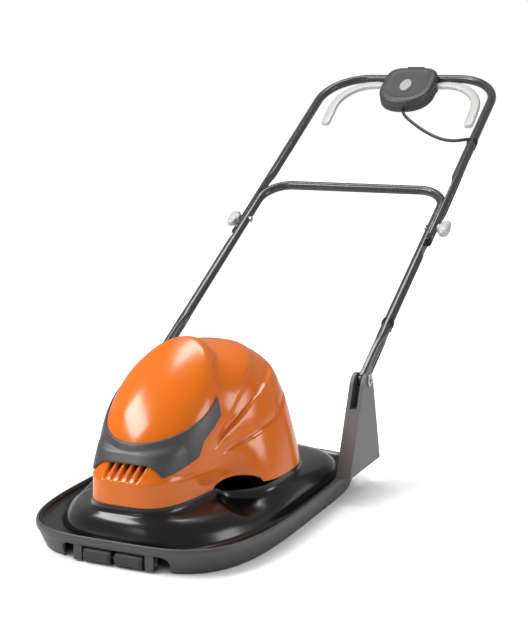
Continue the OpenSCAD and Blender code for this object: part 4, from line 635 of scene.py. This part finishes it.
white_nylon = moulded("moulded_polyamide_white", "#bdbdbb", "#c4c4c2", 0.3, 8.0, 0.004)
face_x = upper_x + tube_r + 0.3
round_turn = np.linspace(0, 2 * np.pi, 96, endpoint=False)
for side, name in ((-1, "knob_left"), (1, "knob_right")):
    # Along the bolt: a hub, then wings that swell and round off at the outer end.
    out = np.array([0, 0.3, 3.5, 5, 6.2, 8, 12, 17, 20.5, 22.6, 23.6, 23.8])
    hub_r = np.array([8.6, 9.2, 9.3, 9.6, 10, 10.2, 10.3, 10.2, 9.6, 8.2, 5.5, 3])
    wing_r = np.array([0, 0, 0, 3, 8.5, 11, 12.4, 12.6, 11.8, 9.4, 5.5, 2])
    lobes_r = hub_r[None, :] + wing_r[None, :] * np.abs(np.sin(round_turn))[:, None] ** 5
    n = lobes_r * np.cos(round_turn)[:, None]
    s = clamp_s + lobes_r * np.sin(round_turn)[:, None]
    piece = surface(name + "_wings", handle(side * (face_x + out)[None, :] + 0 * n, s, n), round_u=True,
                    caps=("v0", "v1"), flip=side > 0)
    piece.data.materials.append(white_nylon)
    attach(piece, name)
    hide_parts(name)

# Lead: a 7 mm black PVC lead. It leaves the switchbox below, hangs in a loop to the right leg, is
# clipped under both tubes and goes down through the pillar to a gland in the hood.

lead_pvc = moulded("extruded_pvc_black", "#141415", "#1c1c1d", 0.36, 1.2, 0.03)


def curve(points, steps=8):
    """A Catmull-Rom curve through points: between two of them a cubic with the neighbours' chords as slopes."""
    p = np.vstack([points[:1], points, points[-1:]])
    t = np.linspace(0, 1, steps, endpoint=False)[:, None]
    a, b, c, d = (p[i:len(p) - 3 + i, None, :] for i in range(4))
    line = 0.5 * (2 * b + (c - a) * t + (2 * a - 5 * b + 4 * c - d) * t ** 2 + (3 * b - a - 3 * c + d) * t ** 3)
    return np.vstack([line.reshape(-1, 3), points[-1:]])


def tube(name, line, radius, hint, sides=16):
    """A round tube along a line: circles square to the line, set out from a hint that is never along it."""
    along = np.gradient(line, axis=0)
    along /= np.linalg.norm(along, axis=1, keepdims=True)
    first = np.cross(along, hint)
    first /= np.linalg.norm(first, axis=1, keepdims=True)
    second = np.cross(along, first)
    a = np.linspace(0, 2 * np.pi, sides, endpoint=False)
    ring = np.cos(a)[None, :, None] * first[:, None, :] + np.sin(a)[None, :, None] * second[:, None, :]
    return surface(name, line[:, None, :] + radius * ring, round_v=True, caps=("u0", "u1"), flip=True)


loop = np.array([(8, 911, -9.3), (8, 903, -9.5), (20, 886, -13), (42, 868, -19), (70, 850, -26), (100, 834, -31),
                 (128, 824, -33), (154, 818, -30), (180, 811, -22), (198, 798, -16), (206, 770, -13.6),
                 (207, 690, -13.6), (208.5, 620, -13.6)])
fold = np.array([(208.5, 620, -13.6), (209, 560, -13.6), (209, 520, -13.6), (206, 480, -13.6), (202.5, 440, -13.6),
                 (200, 400, -13.6), (200.5, 350, -13.6)])
leg = np.array([(200.5, 350, -13.6), (202, 240, -13.6), (202, 155, -13.6), (202, 120, -16)])
hinge_top = np.array([(202, 120, -16), (202, 90, -17.2), (202, 60, -17.5), (202, 38, -17.5)])
hinge_low = np.array([(202, 264.4, 194.4), (202, 256.2, 189), (202, 252, 180), (202, 250, 164), (202, 249, 140)])
hinge = np.vstack([handle(*hinge_top.T), deck(hinge_low)])
foot = deck(np.array([(202, 249, 140), (202, 248, 100), (202, 248, 51.3)]))
lead_loop_line = curve(handle(*loop.T))
across = np.array([1.0, 0.0, 0.0])
square = np.array([0, -math.sin(lean), math.cos(lean)])
lead_r = 3.5 * mm
lead_loop = tube("lead_loop", lead_loop_line, lead_r, square)
lead_fold = tube("lead_fold", curve(handle(*fold.T)), lead_r, square)
lead_leg = tube("lead_leg", curve(handle(*leg.T)), lead_r, square)
lead_hinge = tube("lead_hinge", curve(hinge), lead_r, across)
lead_foot = tube("lead_foot", curve(foot), lead_r, across)
for piece in (lead_loop, lead_fold, lead_leg, lead_hinge, lead_foot):
    piece.data.materials.append(lead_pvc)
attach(lead_loop, "upper_frame")
tuple(handle(208, 540, -13.6))
tuple(handle(200, 380, -13.6))
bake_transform(lead_fold)
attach(lead_leg, "lower_frame")
tuple(handle(202, 70, -17.5))
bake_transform(lead_hinge)
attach(lead_foot, "deck")
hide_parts("lead_upper")
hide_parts("lead_lower")
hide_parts("lead_deck")

# Switchbox: two grey ABS shells closed round the top bar. The lid has a flat, slightly sunk panel
# that slopes to the user, with the lock button in it; the base is darker. Four screws join them.

box_half_w, box_half_len, box_mid_s = 63, 70, 979
lid_low, lid_rise, base_depth = 14, 10, 20
lever_s, lever_n = 1006, -4
round_n = 220


def box_ring(draw_in):
    """The box's outline, drawn in: round towards the user and squarer behind, about its own middle."""
    turn = np.linspace(0, 2 * np.pi, round_n, endpoint=False)
    return oval(turn, box_half_w - draw_in, box_half_len - draw_in, box_half_len - draw_in, 0, 2.4, 4.2)


def gaps(x, s, n, up):
    """Lifts the edge of a shell clear of the top bar, of the lever arms and of the inlet behind."""
    outer = np.abs(x) > 34
    bar = np.sqrt(np.maximum(9.65 ** 2 - (s - top_s) ** 2, 0)) * outer
    arm = np.where((np.abs(s - lever_s) < 11.5) & outer, 7 if up else 15, 0)
    inlet = np.where((np.abs(x) < 20.2) & (s > top_s + 8), 17.2 if up else 5.2, 0)
    return np.maximum(n, np.maximum(bar, np.maximum(arm, inlet)))


# Rows of a shell: how far in and what share of the height, rounded over at the shoulder.
shoulder = soften(np.array([(0, 0), (0, 0.45), (0.6, 0.72), (5, 0.96), (14, 1)], float), 3, False)
panel = [(15, 1), (16.2, 1), (17, 0.965), (18.4, 0.955), (30, 0.955), (46, 0.955)]
lid_rows = np.vstack([[(2.6, 0)], shoulder, panel])
grid = np.stack([np.column_stack([box_ring(i), np.full(round_n, u)]) for i, u in lid_rows], 1)
lid_height = lid_low + lid_rise * (grid[..., 1] + box_half_len) / (2 * box_half_len)
s = box_mid_s + grid[..., 1]
n = gaps(grid[..., 0], s, grid[..., 2] * lid_height, True)
lid = surface("switchbox_lid_shell", handle(grid[..., 0], s, n), round_u=True, caps=("v0", "v1"))
lid_plastic = moulded("moulded_abs_grey", "#3a3a3c", "#414143", 0.4, 0.9, 0.05)
lid.data.materials.append(lid_plastic)
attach(lid, "upper_frame")
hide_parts("switchbox_lid")

base_rows = np.vstack([[(2.6, 0)], shoulder, [(20, 1), (40, 1)]])
grid = np.stack([np.column_stack([box_ring(i), np.full(round_n, u)]) for i, u in base_rows], 1)
s = box_mid_s + grid[..., 1]
n = -gaps(grid[..., 0], s, grid[..., 2] * base_depth, False)
base = surface("switchbox_base_shell", handle(grid[..., 0], s, n), round_u=True, caps=("v0", "v1"), flip=True)
base.data.materials.append(moulded("moulded_abs_dark_grey", "#313133", "#373739", 0.42, 0.9, 0.05))
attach(base, "upper_frame")
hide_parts("switchbox_base")

# Lock button: a pale grey oval cap in the lid, crowned and lightly grained. It slides on a stem
# in its guide and must be pushed before a lever can be squeezed.

slope = math.atan(lid_rise / (2 * box_half_len))
button_s, cap_wide, cap_long = 969, 0.74, 1.2
cap_r = np.array([17.6, 18, 18, 17.5, 16.4, 14, 10, 5, 1])
cap_z = np.array([-7, -6.6, 2.6, 3.7, 4.2, 4.5, 4.7, 4.8, 4.85])
ring = round_turn[:, None]
x = cap_wide * cap_r * np.sin(ring)
along = cap_long * cap_r * np.cos(ring)
button_n = lid_low + lid_rise * (button_s - box_mid_s + box_half_len) / (2 * box_half_len)
s = button_s + along * math.cos(slope) - cap_z * math.sin(slope)
n = button_n + along * math.sin(slope) + cap_z * math.cos(slope)
button = surface("lock_button_cap", handle(x, s, n), round_u=True, caps=("v0", "v1"), flip=True)
button_plastic = moulded("moulded_abs_pale_grey", "#a4a4a2", "#acacaa", 0.4, 3.2, 0.05)
button.data.materials.append(button_plastic)
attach(button, "lock_button")
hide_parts("lock_button")

# Levers: two off-white polyamide bails on one pin in the switchbox. Each comes straight out, bends
# down beside the handle and ends in a rounded tip; squeezing it against the bar starts the motor.

bail_bend, bail_half_w, bail_half_t = 84, 8.4, 5.2
bend = np.radians(np.linspace(90, 0, 40))
path = np.vstack([[(38, 0), (52, 0), (70, 0)],
                  np.column_stack([bail_bend + bail_bend * np.cos(bend), -bail_bend + bail_bend * np.sin(bend)]),
                  [(168, -100), (168, -125), (168, -140), (168, -144), (168, -146.2), (168, -147)]])
size = np.concatenate([np.ones(len(path) - 4), [0.97, 0.86, 0.62, 0.3]])
along = np.gradient(path, axis=0)
along /= np.linalg.norm(along, axis=1, keepdims=True)
ring = np.linspace(0, 2 * np.pi, 40, endpoint=False)
bevel = (np.abs(np.cos(ring)) ** 3.2 + np.abs(np.sin(ring)) ** 3.2) ** (-1 / 3.2)
# Outside the box each bail spreads towards the bar.
reach = np.interp(path[:, 0], [66, 84], [bail_half_w, bail_half_w + 4])[:, None]
broad = bevel * np.cos(ring)
broad = np.where(broad > 0, reach, bail_half_w) * broad
thick = bail_half_t * bevel * np.sin(ring)
px = path[:, None, 0] - along[:, None, 1] * broad * size[:, None]
py = path[:, None, 1] + along[:, None, 0] * broad * size[:, None]
pn = thick[None, :] * size[:, None]
droop = math.radians(7)
s = lever_s + py * math.cos(droop) - pn * math.sin(droop)
n = lever_n + py * math.sin(droop) + pn * math.cos(droop)
for side, name in ((-1, "lever_left"), (1, "lever_right")):
    piece = surface(name + "_bail", handle(side * px, s, n), round_v=True, caps=("u0", "u1"), flip=side > 0)
    piece.data.materials.append(white_nylon)
    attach(piece, name)
    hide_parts(name)
